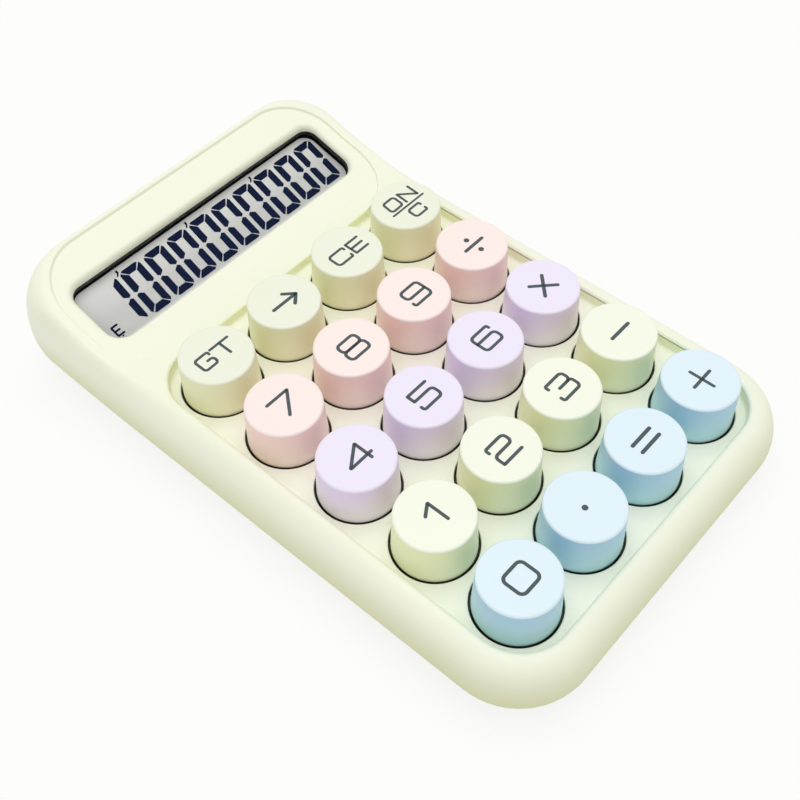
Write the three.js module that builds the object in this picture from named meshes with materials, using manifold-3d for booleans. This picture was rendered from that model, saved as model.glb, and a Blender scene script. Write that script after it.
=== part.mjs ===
// A pastel desktop calculator with twenty round keys and a raised liquid-crystal display.
// Millimetres. X runs to the user's right, Y away from the user, Z up from the table.
// The deck frame has its origin in the middle of the key grid, on the key deck. It is tilted
// by the wedge angle, so that the deck leans towards the user. The base frame stands level.
import * as THREE from 'three';
import { mergeVertices } from 'three/addons/utils/BufferGeometryUtils.js';
import Module from 'manifold-3d';

const wasm = await Module();
wasm.setup();

// Keys, row by row from the display end
const keyNames = [
  ['gt', 'backspace', 'ce', 'on_c'],
  ['7', '8', '9', 'divide'],
  ['4', '5', '6', 'multiply'],
  ['1', '2', '3', 'minus'],
  ['0', 'point', 'equals', 'plus'],
];

// Driving dimensions: the key grid
const keyColumns = keyNames[0].length;
const keyRows = keyNames.length;
const keySideMargin = 0.8;
const keyRowMargin = 1.1;
const keyGap = 0.6;
const keyTravel = 2;

// Driving dimensions: one key
const keyTopHeight = 9.6;
const keyTopEdge = 0.42;
const keyTaper = 0.46;
const keyFlangeWidth = 1.02;
const keyFlangeThickness = 1;
const keyWall = 1.3;
const keyRoof = 1.5;
const keyStemRadius = 2.2;
const keyHoleClearance = 0.42;

// Driving dimensions: the body
const bodyHalfWidth = 44.8;
const bodyFront = -54.6;
const bodyRear = 87.6;
const frontCornerRadius = 15.5;
const rearCornerRadius = 14;
const wedgeAngle = THREE.MathUtils.degToRad(2);
const deckHeight = 14.2;
const footProtrusion = 1;
const footRadius = 4;
const footSink = 0.8;
const footInset = 5.2;
const footFaceShare = 0.9;
const baseEdgeRadius = 5;
const partingHeight = 4;
const wall = 2.2;
const deckThickness = 1.6;
const floorThickness = 2;

// Driving dimensions: the rim round the keys and its crown
const rimHeight = 3;
const rimWidth = 6;
const crownWidth = 5.6;
const crownDepth = 10;
const crownRearShare = 0.6;
const crownMorphLead = 3.6;
const crownMorphSetback = 17.6;
const recessCornerRadius = 9.9;
const recessEdgeRadius = 0.8;

// Driving dimensions: the display panel, which bends up towards the rear
const panelDepth = 1;
const panelSideRim = 4.9;
const panelRearRim = 3.3;
const panelFrontRadius = 15.8;
const panelRearRadius = 9;
const panelFrontOverlap = 0.5;
const bendSetback = 2.9;
const bendLead = 10;
const bendRadius = 60;
const bendSlope = THREE.MathUtils.degToRad(20);

// Driving dimensions: the display window and what sits below it
const windowSideMargin = 3.5;
const windowRearMargin = 7.9;
const windowLength = 14.9;
const windowCornerRadius = 3.2;
const windowEdgeRadius = 1.3;
const bezelDepth = 1.1;
const bezelFlange = 1.6;
const bezelSkirt = 1.2;
const lensThickness = 0.8;
const lcdThickness = 2;
const displayGap = 0.15;

// Driving dimensions: keypad, board and fasteners
const keypadThickness = 1;
const keypadDepth = 6.4;
const domeHeight = 2.8;
const domeSkin = 0.8;
const domeTopRadius = 2.6;
const domeBaseRadius = 5;
const boardThickness = 1.2;
const boardSideMargin = 5.6;
const boardFrontMargin = 2.1;
const boardRearLap = 1.4;
const boardCornerRadius = 8;
const chipRadius = 5.4;
const chipHeight = 1.6;
const cableSideMargin = 6.9;
const cableThickness = 0.3;
const bossRadius = 2.4;
const screwRadius = 1.2;
const screwHeadRadius = 2.2;
const screwHeadHeight = 1.2;
const screwFaceShare = 0.8;
const rearScrewInset = 4.1;
const rearScrewSetback = 4.6;
const boardScrewLength = 4.5;
const caseScrewLength = 7;

// Driving dimensions: battery, its compartment and its sliding door
const cellRadius = 5.25;
const cellLength = 43.3;
const cellNubRadius = 1.9;
const cellNubLength = 1.2;
const cellSetback = 12.4;
const cellRoom = 0.4;
const tubWall = 1;
const contactThickness = 0.4;
const springLength = 4.6;
const springTurns = 3.5;
const springWire = 0.5;
const springBaseShare = 0.6;
const springTipShare = 0.4;
const contactHalfShare = 0.72;
const doorThickness = 1.8;
const doorFlangeThickness = 0.9;
const doorFlange = 1.2;
const doorSideMargin = 1.8;
const doorLap = 1.95;
const gripCount = 3;
const gripHalfWidth = 6.9;
const gripLength = 1.2;
const gripPitch = 2.4;
const gripSetback = 5.3;
const gripDepth = 0.45;

// Clearances of pieces beside each other, and of pieces that seat on each other
const fitClearance = 0.3;
const seatClearance = 0.1;

// Length by which a cutter passes the face that it cuts, and the reach of the largest cutters
const overrun = 1;
const farOut = 60;

// Facets round a key and its hole
const keySegments = 16;

// Colours of the moulded plastic and the other materials
const creamShade = 0xf1f4da;
const greenCreamShade = 0xe9f1d3;
const pinkShade = 0xf8cfc9;
const lavenderShade = 0xd8c6f0;
const yellowShade = 0xf1f3cd;
const blueShade = 0xb4d6f4;
const rubberShade = 0xd9dcd6;
const footShade = 0xdfe2da;
const boardShade = 0x2f6b3f;
const resinShade = 0x17181a;
const filmShade = 0xb98a3c;
const bezelShade = 0x121315;
const lensShade = 0xeef2f2;
const displayShade = 0xb6bab9;
const cellShade = 0x2c5f8a;
const nickelShade = 0xc9ccd0;
const zincShade = 0x9a9da0;

// Places along the body, worked out from its rear to its front
const panelRear = bodyRear - panelRearRim;
const windowRear = panelRear - windowRearMargin;
const windowFront = windowRear - windowLength;
const bendStart = windowFront - bendLead;
const recessRear = bendStart - bendSetback;
const recessFront = bodyFront + rimWidth;
const boardRear = recessRear + boardRearLap;
const boardFront = recessFront + boardFrontMargin;
const crownMorphStart = recessRear - crownMorphLead;
const crownMorphEnd = bodyRear - crownMorphSetback;
const cellY = bodyRear - cellSetback;
const doorFront = cellY - cellRadius - doorLap;

// Places of what lies between the sides, and the door that passes between the feet
const footX = bodyHalfWidth - baseEdgeRadius - footInset;
const doorHalfWidth = footX - footRadius - doorSideMargin - doorFlange;
const recessHalfWidth = bodyHalfWidth - rimWidth;
const panelHalfWidth = bodyHalfWidth - panelSideRim;
const windowHalfWidth = panelHalfWidth - windowSideMargin;
const boardHalfWidth = bodyHalfWidth - wall - boardSideMargin;
const cableHalfWidth = boardHalfWidth - rearScrewInset - bossRadius - cableSideMargin;

// The key grid fits the recess in both directions with one pitch, and its keys fit the pitch
const keyPitch = Math.min(
  (recessHalfWidth - keySideMargin) / (keyColumns / 2),
  (recessRear - recessFront - 2 * keyRowMargin) / keyRows,
);
const keyGridMiddle = (recessFront + recessRear) / 2;
const keyFlangeRadius = (keyPitch - keyGap) / 2;
const keySkirtRadius = keyFlangeRadius - keyFlangeWidth;
const keyTopRadius = keySkirtRadius - keyTaper;

// Height by which the display end rises above the level rim, at a place along the deck
function bendRise(y) {
  const run = y - bendStart;
  if (run <= 0) return 0;
  const arcRun = bendRadius * Math.sin(bendSlope);
  if (run < arcRun) return bendRadius - Math.sqrt(bendRadius ** 2 - run ** 2);
  return bendRadius * (1 - Math.cos(bendSlope)) + (run - arcRun) * Math.tan(bendSlope);
}

// Share of the crown's full width that the rim keeps at a place along the deck
function crownShare(y) {
  return 1 - (1 - crownRearShare) * THREE.MathUtils.smoothstep(y, crownMorphStart, crownMorphEnd);
}

// Right-hand side of a rounded rectangle, from front to rear, with outward normals
function sideOutline(halfWidth, front, rear, frontRadius, rearRadius, arcSteps, sideSteps) {
  const points = [];
  for (let i = 0; i <= arcSteps; i += 1) {
    const turn = (-Math.PI / 2) * (1 - i / arcSteps);
    points.push({
      x: halfWidth - frontRadius + frontRadius * Math.cos(turn),
      y: front + frontRadius + frontRadius * Math.sin(turn),
      nx: Math.cos(turn),
      ny: Math.sin(turn),
    });
  }
  const sideStart = front + frontRadius;
  const sideEnd = rear - rearRadius;
  for (let i = 1; i < sideSteps; i += 1) {
    const y = sideStart + ((sideEnd - sideStart) * i) / sideSteps;
    points.push({ x: halfWidth, y, nx: 1, ny: 0 });
  }
  for (let i = 0; i <= arcSteps; i += 1) {
    const turn = ((Math.PI / 2) * i) / arcSteps;
    points.push({
      x: halfWidth - rearRadius + rearRadius * Math.cos(turn),
      y: rear - rearRadius + rearRadius * Math.sin(turn),
      nx: Math.cos(turn),
      ny: Math.sin(turn),
    });
  }
  return points;
}

// Closed solid lofted through rings of one outline. A ring has an inset from the outline and a
// height that may change along the body. The caps are strips across the body.
function ringLoft(side, rings) {
  const count = side.length;
  const loop = 2 * count;
  const positions = [];
  for (const ring of rings) {
    const place = (point, mirror) => {
      const inset = ring.inset(point.y);
      const y = point.y - point.ny * inset;
      positions.push(mirror * (point.x - point.nx * inset), y, ring.height(y));
    };
    for (let i = 0; i < count; i += 1) place(side[i], 1);
    for (let i = count - 1; i >= 0; i -= 1) place(side[i], -1);
  }
  const indices = [];
  const quad = (a, b, c, d) => indices.push(a, b, c, a, c, d);
  for (let k = 0; k + 1 < rings.length; k += 1) {
    for (let j = 0; j < loop; j += 1) {
      const next = (j + 1) % loop;
      quad(k * loop + j, k * loop + next, (k + 1) * loop + next, (k + 1) * loop + j);
    }
  }
  const top = (rings.length - 1) * loop;
  for (let i = 0; i + 1 < count; i += 1) {
    const mirrored = loop - 1 - i;
    quad(i, mirrored, mirrored - 1, i + 1);
    quad(top + i, top + i + 1, top + mirrored - 1, top + mirrored);
  }
  const geometry = new THREE.BufferGeometry();
  geometry.setAttribute('position', new THREE.Float32BufferAttribute(positions, 3));
  geometry.setIndex(indices);
  return geometry;
}

const level = (height) => () => height;
const plain = (inset) => () => inset;

// Rounded rectangle drawn round a centre, for flat extruded pieces
function roundedRectangle(halfX, halfY, radius, centreX = 0, centreY = 0) {
  const shape = new THREE.Shape();
  const left = centreX - halfX;
  const right = centreX + halfX;
  const front = centreY - halfY;
  const rear = centreY + halfY;
  shape.moveTo(left + radius, front);
  shape.lineTo(right - radius, front);
  shape.absarc(right - radius, front + radius, radius, -Math.PI / 2, 0);
  shape.lineTo(right, rear - radius);
  shape.absarc(right - radius, rear - radius, radius, 0, Math.PI / 2);
  shape.lineTo(left + radius, rear);
  shape.absarc(left + radius, rear - radius, radius, Math.PI / 2, Math.PI);
  shape.lineTo(left, front + radius);
  shape.absarc(left + radius, front + radius, radius, Math.PI, 1.5 * Math.PI);
  return shape;
}

// Round hole for a flat piece, drawn as a polygon that stays clear of the full radius
function clearHole(x, y, radius, sides = 8) {
  const corner = radius / Math.cos(Math.PI / sides);
  const points = [];
  for (let i = 0; i < sides; i += 1) {
    const turn = (-2 * Math.PI * i) / sides;
    points.push(new THREE.Vector2(x + corner * Math.cos(turn), y + corner * Math.sin(turn)));
  }
  const hole = new THREE.Path(points);
  hole.closePath();
  return hole;
}

// Straight extrusion of a shape between two heights
function slab(shape, low, high, curveSegments = 4) {
  const geometry = new THREE.ExtrudeGeometry(shape, {
    depth: high - low,
    bevelEnabled: false,
    curveSegments,
  });
  return geometry.translate(0, 0, low);
}

// Upright round bar or cone between two heights
function roundBar(topRadius, bottomRadius, low, high, x = 0, y = 0, segments = 16) {
  const geometry = new THREE.CylinderGeometry(topRadius, bottomRadius, high - low, segments);
  geometry.rotateX(Math.PI / 2);
  return geometry.translate(x, y, (low + high) / 2);
}

// Box between two corners
function block(lowX, highX, lowY, highY, lowZ, highZ) {
  const geometry = new THREE.BoxGeometry(highX - lowX, highY - lowY, highZ - lowZ);
  return geometry.translate((lowX + highX) / 2, (lowY + highY) / 2, (lowZ + highZ) / 2);
}

// Solid for joining and cutting, from a closed geometry
function solid(geometry) {
  const bare = geometry.index ? geometry.clone() : geometry;
  bare.deleteAttribute('normal');
  bare.deleteAttribute('uv');
  const merged = mergeVertices(bare, 1e-4);
  return new wasm.Manifold(new wasm.Mesh({
    numProp: 3,
    vertProperties: new Float32Array(merged.attributes.position.array),
    triVerts: new Uint32Array(merged.index.array),
  }));
}

// Geometry of a finished solid
function surface(body) {
  const mesh = body.getMesh();
  const geometry = new THREE.BufferGeometry();
  const positions = new Float32Array(mesh.numVert * 3);
  for (let i = 0; i < mesh.numVert; i += 1) {
    for (let axis = 0; axis < 3; axis += 1) {
      positions[i * 3 + axis] = mesh.vertProperties[i * mesh.numProp + axis];
    }
  }
  geometry.setAttribute('position', new THREE.BufferAttribute(positions, 3));
  geometry.setIndex(new THREE.BufferAttribute(new Uint32Array(mesh.triVerts), 1));
  geometry.computeVertexNormals();
  return geometry;
}

const joined = (first, parts) => parts.reduce((whole, part) => whole.add(solid(part)), first);
const cut = (first, parts) => parts.reduce((whole, part) => whole.subtract(solid(part)), first);

// Frames: the deck frame and the display frame, in level coordinates and in deck coordinates
const deckMatrix = new THREE.Matrix4()
  .makeRotationX(wedgeAngle)
  .setPosition(0, 0, deckHeight);
const levelInDeck = deckMatrix.clone().invert();
const inDeckFrame = (geometry) => geometry.applyMatrix4(levelInDeck);

const panelHeight = (y) => rimHeight - panelDepth + bendRise(y);
const windowRun = windowRear - windowFront;
const windowRise = panelHeight(windowRear) - panelHeight(windowFront);
const displaySlope = Math.atan2(windowRise, windowRun);
const windowHalfLength = Math.hypot(windowRun, windowRise) / 2;
const displayMatrix = new THREE.Matrix4()
  .makeRotationX(displaySlope)
  .setPosition(
    0,
    (windowFront + windowRear) / 2 + windowEdgeRadius * Math.sin(displaySlope),
    (panelHeight(windowFront) + panelHeight(windowRear)) / 2 - windowEdgeRadius * Math.cos(displaySlope),
  );
const inDisplayFrame = (geometry) => geometry.applyMatrix4(displayMatrix);

// Places worked out from the driving dimensions
const keyHoleRadius = keySkirtRadius + keyHoleClearance;
const flangeTop = -deckThickness - fitClearance;
const flangeBottom = flangeTop - keyFlangeThickness;
const domeTop = -keypadDepth + domeHeight;
const stemBottom = domeTop + fitClearance;
const keypadBottom = -keypadDepth - keypadThickness;
const boardTop = keypadBottom;
const boardBottom = boardTop - boardThickness;
const bossBottom = boardBottom - fitClearance;
const baseBottomAtOrigin = -(deckHeight - footProtrusion) / Math.cos(wedgeAngle);
const baseBottom = (y) => baseBottomAtOrigin - y * Math.tan(wedgeAngle);

const keyX = (column) => (column - (keyColumns - 1) / 2) * keyPitch;
const keyY = (row) => keyGridMiddle + ((keyRows - 1) / 2 - row) * keyPitch;
const cornerX = (column) => (column - (keyColumns - 2) / 2) * keyPitch;
const cornerY = (row) => keyGridMiddle + ((keyRows - 2) / 2 - row) * keyPitch;

// Screw places on the corners between four keys, and behind the keys
const caseScrewPlaces = [
  { x: cornerX(0), y: cornerY(3) },
  { x: cornerX(2), y: cornerY(3) },
  { x: -boardHalfWidth + rearScrewInset, y: boardRear + rearScrewSetback },
  { x: boardHalfWidth - rearScrewInset, y: boardRear + rearScrewSetback },
];
const boardScrewPlaces = [
  { x: cornerX(0), y: cornerY(0) },
  { x: cornerX(1), y: cornerY(0) },
  { x: cornerX(2), y: cornerY(0) },
  { x: cornerX(0), y: cornerY(2) },
  { x: cornerX(1), y: cornerY(3) },
  { x: cornerX(2), y: cornerY(2) },
];
const screwSeat = bossBottom - fitClearance - screwHeadHeight;

// Outer form of the closed body: rounded base edge, upright side, broad crown and bent display end
const bodySide = sideOutline(bodyHalfWidth, bodyFront, bodyRear, frontCornerRadius, rearCornerRadius, 5, 12);

function bodyForm() {
  const rings = [];
  const edgeSteps = 4;
  for (let i = 0; i <= edgeSteps; i += 1) {
    const turn = ((Math.PI / 2) * i) / edgeSteps;
    const inset = baseEdgeRadius * (1 - Math.sin(turn));
    const lift = baseEdgeRadius * (1 - Math.cos(turn));
    rings.push({ inset: plain(inset), height: (y) => baseBottom(y) + lift });
  }
  const crownSteps = 5;
  for (let i = 0; i <= crownSteps; i += 1) {
    const turn = ((Math.PI / 2) * i) / crownSteps;
    const inset = crownWidth * (1 - Math.cos(turn));
    const drop = crownDepth * (1 - Math.sin(turn));
    rings.push({
      inset: (y) => inset * crownShare(y),
      height: (y) => rimHeight - drop + bendRise(y),
    });
  }
  return solid(ringLoft(bodySide, rings));
}

// Space below a level plane, as a cutter in the deck frame
function belowLevel(height) {
  return inDeckFrame(block(-2 * farOut, 2 * farOut, -3 * farOut, 3 * farOut, -farOut, height));
}

function aboveLevel(height) {
  return inDeckFrame(block(-2 * farOut, 2 * farOut, -3 * farOut, 3 * farOut, height, 2 * farOut));
}

// Hollow of the upper shell, open below
function upperHollow() {
  const shoulder = crownDepth / 2;
  return ringLoft(bodySide, [
    { inset: plain(wall), height: level(-farOut) },
    { inset: plain(wall), height: (y) => -shoulder + bendRise(y) },
    { inset: plain(crownWidth), height: (y) => -deckThickness + bendRise(y) },
  ]);
}

// Recess of the key deck, with a rounded upper edge
function deckRecess() {
  const side = sideOutline(
    recessHalfWidth, recessFront, recessRear, recessCornerRadius, recessCornerRadius, 6, 4,
  );
  const rings = [{ inset: plain(0), height: level(0) }];
  const steps = 3;
  for (let i = 0; i <= steps; i += 1) {
    const turn = ((Math.PI / 2) * i) / steps;
    const flare = recessEdgeRadius * (1 - Math.cos(turn));
    const height = rimHeight - recessEdgeRadius * (1 - Math.sin(turn));
    rings.push({ inset: plain(-flare), height: level(height) });
  }
  rings.push({ inset: plain(-recessEdgeRadius), height: level(farOut) });
  return ringLoft(side, rings);
}

// Sunk display panel, following the bend
function panelRecess() {
  const front = recessRear - panelFrontOverlap;
  const side = sideOutline(panelHalfWidth, front, panelRear, panelFrontRadius, panelRearRadius, 7, 7);
  return ringLoft(side, [
    { inset: plain(0), height: panelHeight },
    { inset: plain(0), height: level(farOut) },
  ]);
}

// Window opening with a softly rounded edge, in the display frame
function windowOpening() {
  const side = sideOutline(
    windowHalfWidth, -windowHalfLength, windowHalfLength, windowCornerRadius, windowCornerRadius, 4, 1,
  );
  const rings = [{ inset: plain(0), height: level(-windowEdgeRadius) }];
  const steps = 3;
  const lastTurn = THREE.MathUtils.degToRad(75);
  for (let i = 0; i <= steps; i += 1) {
    const turn = (lastTurn * i) / steps;
    const flare = windowEdgeRadius * (1 - Math.cos(turn));
    rings.push({ inset: plain(-flare), height: level(windowEdgeRadius * Math.sin(turn)) });
  }
  const reach = 2 * windowEdgeRadius;
  const lastFlare = windowEdgeRadius * (1 - Math.cos(lastTurn));
  rings.push({
    inset: plain(-lastFlare - reach),
    height: level(windowEdgeRadius * Math.sin(lastTurn) + reach / Math.tan(lastTurn)),
  });
  return inDisplayFrame(ringLoft(side, rings));
}

const bezelHalfX = windowHalfWidth + bezelFlange + bezelSkirt;
const bezelHalfY = windowHalfLength + bezelFlange + bezelSkirt;
const bezelBottom = -displayGap - bezelDepth - displayGap - lensThickness - lcdThickness;

// Pocket below the window, which holds the bezel
function displayPocket() {
  const room = roundedRectangle(
    bezelHalfX + fitClearance, bezelHalfY + fitClearance, windowCornerRadius,
  );
  return inDisplayFrame(slab(room, bezelBottom - overrun, 0));
}

// Guide ribs between the keys of a column, which stop the round keys from turning
const guideRibHalfWidth = keyFlangeThickness;
const guideRibHalfLength = keyPitch / 2 - keyHoleRadius - seatClearance;
const guideRibBottom = flangeBottom - keyTravel - fitClearance;

function upperHousing(body) {
  const keyHoles = [];
  const guideRibs = [];
  for (let column = 0; column < keyColumns; column += 1) {
    for (let row = 0; row < keyRows; row += 1) {
      keyHoles.push(roundBar(
        keyHoleRadius, keyHoleRadius, -deckThickness - overrun, overrun, keyX(column), keyY(row), keySegments,
      ));
    }
    for (let row = 0; row + 1 < keyRows; row += 1) {
      const x = keyX(column);
      const y = cornerY(row);
      guideRibs.push(block(
        x - guideRibHalfWidth, x + guideRibHalfWidth, y - guideRibHalfLength, y + guideRibHalfLength,
        guideRibBottom, -deckThickness / 2,
      ));
    }
  }
  const bosses = [];
  const pilots = [];
  for (const { x, y } of caseScrewPlaces) {
    bosses.push(roundBar(bossRadius, bossRadius, bossBottom, -deckThickness / 2, x, y));
    pilots.push(roundBar(
      screwRadius + fitClearance, screwRadius + fitClearance, bossBottom - overrun,
      screwSeat + caseScrewLength + overrun, x, y, 10,
    ));
  }
  for (const { x, y } of boardScrewPlaces) {
    bosses.push(roundBar(bossRadius, bossRadius, -keypadDepth + fitClearance, -deckThickness / 2, x, y));
    pilots.push(roundBar(
      screwRadius + fitClearance, screwRadius + fitClearance, -keypadDepth - overrun,
      -deckThickness - fitClearance, x, y, 10,
    ));
  }
  let shell = cut(body, [belowLevel(partingHeight), upperHollow()]);
  shell = joined(shell, [...bosses, ...guideRibs]);
  shell = cut(shell, [deckRecess(), panelRecess(), windowOpening(), displayPocket(), ...keyHoles, ...pilots]);
  return surface(shell);
}

// One key: a hollow tapered cap with a retaining flange below the deck and a plunger stem
function keyCap() {
  const ceiling = keyTopHeight - keyRoof;
  const profile = [
    [0, keyTopHeight],
    [keyTopRadius - keyTopEdge, keyTopHeight],
    [keyTopRadius, keyTopHeight - keyTopEdge],
    [keySkirtRadius, flangeTop],
    [keyFlangeRadius, flangeTop],
    [keyFlangeRadius, flangeBottom],
    [keySkirtRadius - keyWall, flangeBottom],
    [keyTopRadius - keyWall, ceiling],
    [0, ceiling],
  ].map(([radius, height]) => new THREE.Vector2(radius, height));
  const turned = new THREE.LatheGeometry(profile.reverse(), keySegments);
  turned.rotateX(Math.PI / 2);
  const stem = roundBar(keyStemRadius, keyStemRadius, stemBottom, ceiling + keyRoof / 2, 0, 0, 8);
  const notches = [-1, 1].map((side) => {
    const reach = keyPitch / 2;
    const edge = reach - guideRibHalfLength - fitClearance;
    const halfWidth = guideRibHalfWidth + fitClearance;
    const lowY = side > 0 ? edge : -reach;
    return block(-halfWidth, halfWidth, lowY, lowY + reach - edge, flangeBottom - overrun, flangeTop + overrun);
  });
  return surface(cut(joined(solid(turned), [stem]), notches));
}

// Moulded rubber keypad: one sheet with a hollow dome below each key
function rubberKeypad() {
  const halfLength = (keyRows * keyPitch) / 2;
  const outline = roundedRectangle(
    recessHalfWidth - overrun, halfLength, boardCornerRadius, 0, keyGridMiddle,
  );
  for (const { x, y } of [...caseScrewPlaces.slice(0, 2), ...boardScrewPlaces]) {
    outline.holes.push(clearHole(x, y, bossRadius + fitClearance));
  }
  let sheet = solid(slab(outline, keypadBottom + seatClearance, -keypadDepth, 3));
  const domes = [];
  const hollows = [];
  for (let column = 0; column < keyColumns; column += 1) {
    for (let row = 0; row < keyRows; row += 1) {
      const x = keyX(column);
      const y = keyY(row);
      domes.push(roundBar(domeTopRadius, domeBaseRadius, -keypadDepth - keypadThickness / 2, domeTop, x, y, 6));
      hollows.push(roundBar(
        domeTopRadius - domeSkin, domeBaseRadius - domeSkin, keypadBottom - overrun, domeTop - domeSkin,
        x, y, 6,
      ));
    }
  }
  sheet = cut(joined(sheet, domes), hollows);
  return surface(sheet);
}

// Printed circuit board with holes for the bosses and screws
function circuitBoard() {
  const halfLength = (boardRear - boardFront) / 2;
  const outline = roundedRectangle(
    boardHalfWidth, halfLength, boardCornerRadius, 0, (boardRear + boardFront) / 2,
  );
  for (const { x, y } of caseScrewPlaces.slice(0, 2)) {
    outline.holes.push(clearHole(x, y, bossRadius + fitClearance));
  }
  for (const { x, y } of boardScrewPlaces) {
    outline.holes.push(clearHole(x, y, screwRadius + fitClearance));
  }
  return slab(outline, boardBottom, boardTop, 3);
}

// Potted controller chip on the back of the board
function controllerChip() {
  const steps = 3;
  const profile = [new THREE.Vector2(0, 0)];
  for (let i = 0; i <= steps; i += 1) {
    const turn = ((Math.PI / 2) * i) / steps;
    profile.push(new THREE.Vector2(chipRadius * Math.cos(turn), chipHeight * Math.sin(turn)));
  }
  profile[profile.length - 1].x = 0;
  const drop = new THREE.LatheGeometry(profile, 12);
  return drop.rotateX(-Math.PI / 2);
}

// Screw with a rounded head, standing on its head, with its top at the far end of the shank
function screw(length) {
  const profile = [
    [0, 0],
    [screwHeadRadius * screwFaceShare, 0],
    [screwHeadRadius, screwHeadHeight / 2],
    [screwHeadRadius, screwHeadHeight],
    [screwRadius, screwHeadHeight],
    [screwRadius, length - screwRadius],
    [0, length],
  ].map(([radius, height]) => new THREE.Vector2(radius, height));
  return new THREE.LatheGeometry(profile, 8).rotateX(Math.PI / 2);
}

// Black frame below the window: a flange with the window's outline and a skirt round the display
function displayBezel() {
  const outer = roundedRectangle(bezelHalfX, bezelHalfY, windowCornerRadius);
  const opening = roundedRectangle(windowHalfWidth, windowHalfLength, windowCornerRadius);
  const room = roundedRectangle(
    bezelHalfX - bezelSkirt, bezelHalfY - bezelSkirt, windowCornerRadius / 2,
  );
  const frame = solid(slab(outer, bezelBottom, -displayGap));
  const roomTop = -displayGap - bezelDepth;
  return surface(cut(frame, [
    slab(opening, bezelBottom - overrun, overrun),
    slab(room, bezelBottom - overrun, roomTop),
  ]));
}

const insetPlate = (inset, low, high) => slab(
  roundedRectangle(bezelHalfX - bezelSkirt - inset, bezelHalfY - bezelSkirt - inset, windowCornerRadius / 2),
  low,
  high,
);
const lensTop = -displayGap - bezelDepth - displayGap;
const lensBottom = lensTop - lensThickness;
const lcdTop = lensBottom - displayGap;
const lcdBottom = lcdTop - lcdThickness;

// Turns an outline drawn along Y and Z, and extruded, into a body that runs along X
const acrossBody = new THREE.Matrix4().makeBasis(
  new THREE.Vector3(0, 1, 0),
  new THREE.Vector3(0, 0, 1),
  new THREE.Vector3(1, 0, 0),
);

// Flat cable from the back of the display down to the rear edge of the board
function flexCable() {
  const middleDepth = lcdBottom - fitClearance - cableThickness / 2;
  const start = new THREE.Vector3(0, windowHalfLength / 4, middleDepth).applyMatrix4(displayMatrix);
  const leave = new THREE.Vector3(0, -bezelHalfY, middleDepth).applyMatrix4(displayMatrix);
  const landing = boardTop + fitClearance + cableThickness / 2;
  const turn = new THREE.Vector3(0, leave.y - boardThickness, leave.z - boardThickness / 2);
  const lowTurn = new THREE.Vector3(0, boardRear + bossRadius, landing);
  const end = new THREE.Vector3(0, boardRear - 2 * boardThickness, landing);
  const curve = new THREE.CubicBezierCurve3(leave, turn, lowTurn, end);
  const steps = 6;
  const path = [start, ...curve.getPoints(steps)];
  const above = [];
  const below = [];
  path.forEach((point, i) => {
    const before = path[Math.max(i - 1, 0)];
    const after = path[Math.min(i + 1, path.length - 1)];
    const along = after.clone().sub(before).normalize();
    const offset = new THREE.Vector3(0, -along.z, along.y).multiplyScalar(cableThickness / 2);
    above.push(point.clone().add(offset));
    below.push(point.clone().sub(offset));
  });
  const section = new THREE.Shape(
    [...above, ...below.reverse()].map((point) => new THREE.Vector2(point.y, point.z)),
  );
  const strip = new THREE.ExtrudeGeometry(section, { depth: 2 * cableHalfWidth, bevelEnabled: false });
  return strip.translate(0, 0, -cableHalfWidth).applyMatrix4(acrossBody);
}

// Battery compartment: an arch-shaped tub over the cell, open below
const floorTop = footProtrusion + floorThickness;
const doorTop = footProtrusion + doorThickness;
const cellHeight = doorTop + doorFlangeThickness + cellRoom + cellRadius;
const tubHalfLength = (cellLength + cellNubLength + springLength + 2 * fitClearance) / 2 + contactThickness;

function arch(radius, low, halfLength) {
  const shape = new THREE.Shape();
  shape.moveTo(-radius, low);
  shape.lineTo(radius, low);
  shape.lineTo(radius, cellHeight);
  shape.absarc(0, cellHeight, radius, 0, Math.PI);
  shape.lineTo(-radius, low);
  const geometry = new THREE.ExtrudeGeometry(shape, {
    depth: 2 * halfLength,
    bevelEnabled: false,
    curveSegments: 10,
  });
  return geometry.translate(0, 0, -halfLength).applyMatrix4(acrossBody).translate(0, cellY, 0);
}

// Channel or door body: a plate with thin flanges along both sides that run in grooves
function doorPlate(grow, front, rear) {
  const bottom = footProtrusion - overrun;
  const flangeLow = doorTop - doorFlangeThickness;
  return [
    block(-doorHalfWidth - grow, doorHalfWidth + grow, front - grow, rear, bottom, doorTop + grow),
    block(
      -doorHalfWidth - doorFlange - grow, doorHalfWidth + doorFlange + grow, front - grow, rear,
      flangeLow - grow, doorTop + grow,
    ),
  ];
}

const footPlaces = [
  { x: -footX, y: bodyFront + frontCornerRadius },
  { x: footX, y: bodyFront + frontCornerRadius },
  { x: -footX, y: bodyRear - rearCornerRadius },
  { x: footX, y: bodyRear - rearCornerRadius },
];

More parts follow.
